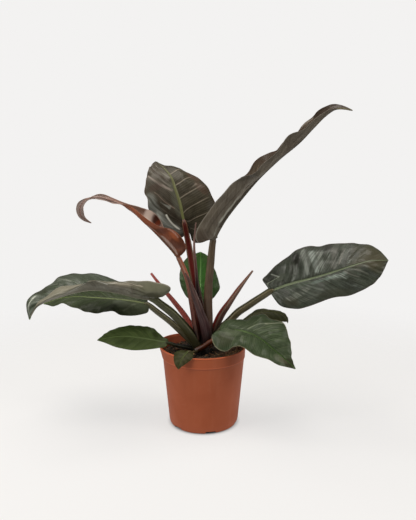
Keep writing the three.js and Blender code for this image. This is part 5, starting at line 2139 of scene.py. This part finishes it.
NEW_LEAF_ROLL = Spike(
    name="new_leaf_roll", slot=Slot.PINK_STALK,
    rod=Rod(
        points=(
            (-6, 3, 192), (-9, 3, 244), (-13, -2, 292), (-16, -10, 334), (-18, -20, 372),
            (-14, -28, 414),
        ),
        width=(9, 2.4), depth=(8, 2.4), channel=(0, -1, 0.1),
    ),
    finish=PINK,
)

SPIKES = (SHEATH_FRONT, SHEATH_LEFT, SHEATH_RIGHT, NEW_LEAF_ROLL)


@dataclass(frozen=True)
class SoftBox:
    """A large soft lamp: where it stands, its two sides in metres and its power in watts."""

    name: str
    spot: Point
    sides: tuple[float, float]
    power: float
    tint: Colour = (255, 249, 241)

    def build(self, aim: Point) -> None:
        """Makes the lamp and turns it to the aim."""
        data = bpy.data.lights.new(self.name, "AREA")
        data.shape = "RECTANGLE"
        data.size, data.size_y = self.sides
        data.energy = self.power
        data.color = linear(self.tint)[:3]
        lamp = bpy.data.objects.new(self.name, data)
        lamp.location = self.spot
        lamp.rotation_euler = (Vector(aim) - Vector(self.spot)).to_track_quat("-Z", "Y").to_euler()
        lamp.visible_camera = False
        bpy.context.scene.collection.objects.link(lamp)


@dataclass
class Studio:
    """The pale floor with a painted shadow under the pot, the backdrop's even light, the soft
    lamps and the camera.
    """

    backdrop: Colour = (243, 242, 241)
    warmth: Colour = (255, 250, 243)
    camera_spot: Point = (0.009, -1.1, 0.515)
    camera_tilt: float = 9.2
    focal_share: float = 559 / 520
    sensor: float = 36.0
    floor_reach: float = 2.4
    floor_fade: tuple[float, float] = (0.45, 1.2)
    floor_glow: float = 0.72
    painted_shadow_radius: float = 0.058
    paper: Point = (0.2, 0.2, 0.2)
    shade: Point = (0.004, 0.004, 0.004)
    aim: Point = (0.0, 0.0, 0.33)
    lamps: tuple[SoftBox, ...] = (
        SoftBox("lamp_top", (-0.3, -0.2, 2.2), (1.6, 1.2), 42),
        SoftBox("lamp_left", (-1.7, -1.0, 1.0), (0.8, 1.4), 24),
        SoftBox("lamp_right", (1.8, -0.8, 0.9), (0.8, 1.4), 18),
    )

    def build(self) -> None:
        """Sets the studio up."""
        self._floor()
        self._world()
        for lamp in self.lamps:
            lamp.build(self.aim)
        self._camera()
        bpy.context.scene.view_settings.view_transform = "Standard"

    def _floor(self) -> None:
        """Lays the floor, whose edge fades into the backdrop, with a painted shadow under the pot.
        """
        sheet = NodeSheet.named("floor_paper")
        spot = sheet.place()
        x, y, _ = sheet.parts(spot)
        away = (x * x + y * y) ** 0.5
        # Painted shadow: under the pot the floor's glow fades to black and a near-black sheet
        # takes over.
        under = self.painted_shadow_radius
        tone = sheet.mix(away.step(under, 0.078), linear((0, 0, 0)), linear(self.backdrop))
        glow = sheet.node("ShaderNodeEmission", {}, {"Color": tone, "Strength": self.floor_glow})
        paper = sheet.node("ShaderNodeBsdfDiffuse", {}, {"Color": (*self.paper, 1.0)})
        both = sheet.node("ShaderNodeAddShader", {}, {0: glow, 1: paper})
        dark = sheet.node("ShaderNodeBsdfDiffuse", {}, {"Color": (*self.shade, 1.0)})
        near = sheet.blend(away.step(under, 0.07), dark, both)
        clear = sheet.node("ShaderNodeBsdfTransparent")
        sheet.end(sheet.blend(away.step(*self.floor_fade), near, clear))
        mesh = bpy.data.meshes.new("floor")
        r = self.floor_reach
        mesh.from_pydata([(-r, -r, 0), (r, -r, 0), (r, r, 0), (-r, r, 0)], [], [(0, 1, 2, 3)])
        mesh.materials.append(sheet.owner)
        floor = bpy.data.objects.new("floor", mesh)
        bpy.context.scene.collection.objects.link(floor)

    def _world(self) -> None:
        """Lights the scene from all round, and less so from the camera's side."""
        world = bpy.data.worlds.new("studio")
        bpy.context.scene.world = world
        sheet = NodeSheet(world)
        spot = sheet.node("ShaderNodeTexCoord", output="Generated")
        _, y, z = sheet.parts(spot)
        strength = 0.05 + y.step(0.0, 1.0) * 0.12 + z.step(-0.1, 0.9) * 0.2
        seen = sheet.node("ShaderNodeBackground", {}, {0: linear(self.backdrop), 1: 1.0})
        light = sheet.node("ShaderNodeBackground", {}, {0: linear(self.warmth), 1: strength})
        direct = sheet.node("ShaderNodeLightPath", output="Is Camera Ray")
        sheet.end(sheet.blend(direct, light, seen), "ShaderNodeOutputWorld")

    def _camera(self) -> None:
        """Sets the camera up."""
        data = bpy.data.cameras.new("camera")
        data.sensor_width = self.sensor
        data.lens = self.sensor * self.focal_share
        camera = bpy.data.objects.new("camera", data)
        camera.location = self.camera_spot
        camera.rotation_euler = (math.radians(90 - self.camera_tilt), 0, 0)
        bpy.context.scene.collection.objects.link(camera)
        bpy.context.scene.camera = camera


def main() -> None:
    """Builds the plant piece by piece, then its studio."""
    pot = Pot()
    pot.build()
    Soil().build(pot)
    Crown().build()
    for number, leaf in enumerate(LEAVES):
        leaf.build(number)
    for number, spike in enumerate(SPIKES):
        spike.build(200 + number)
    Studio().build()


if __name__ == "__main__":
    main()
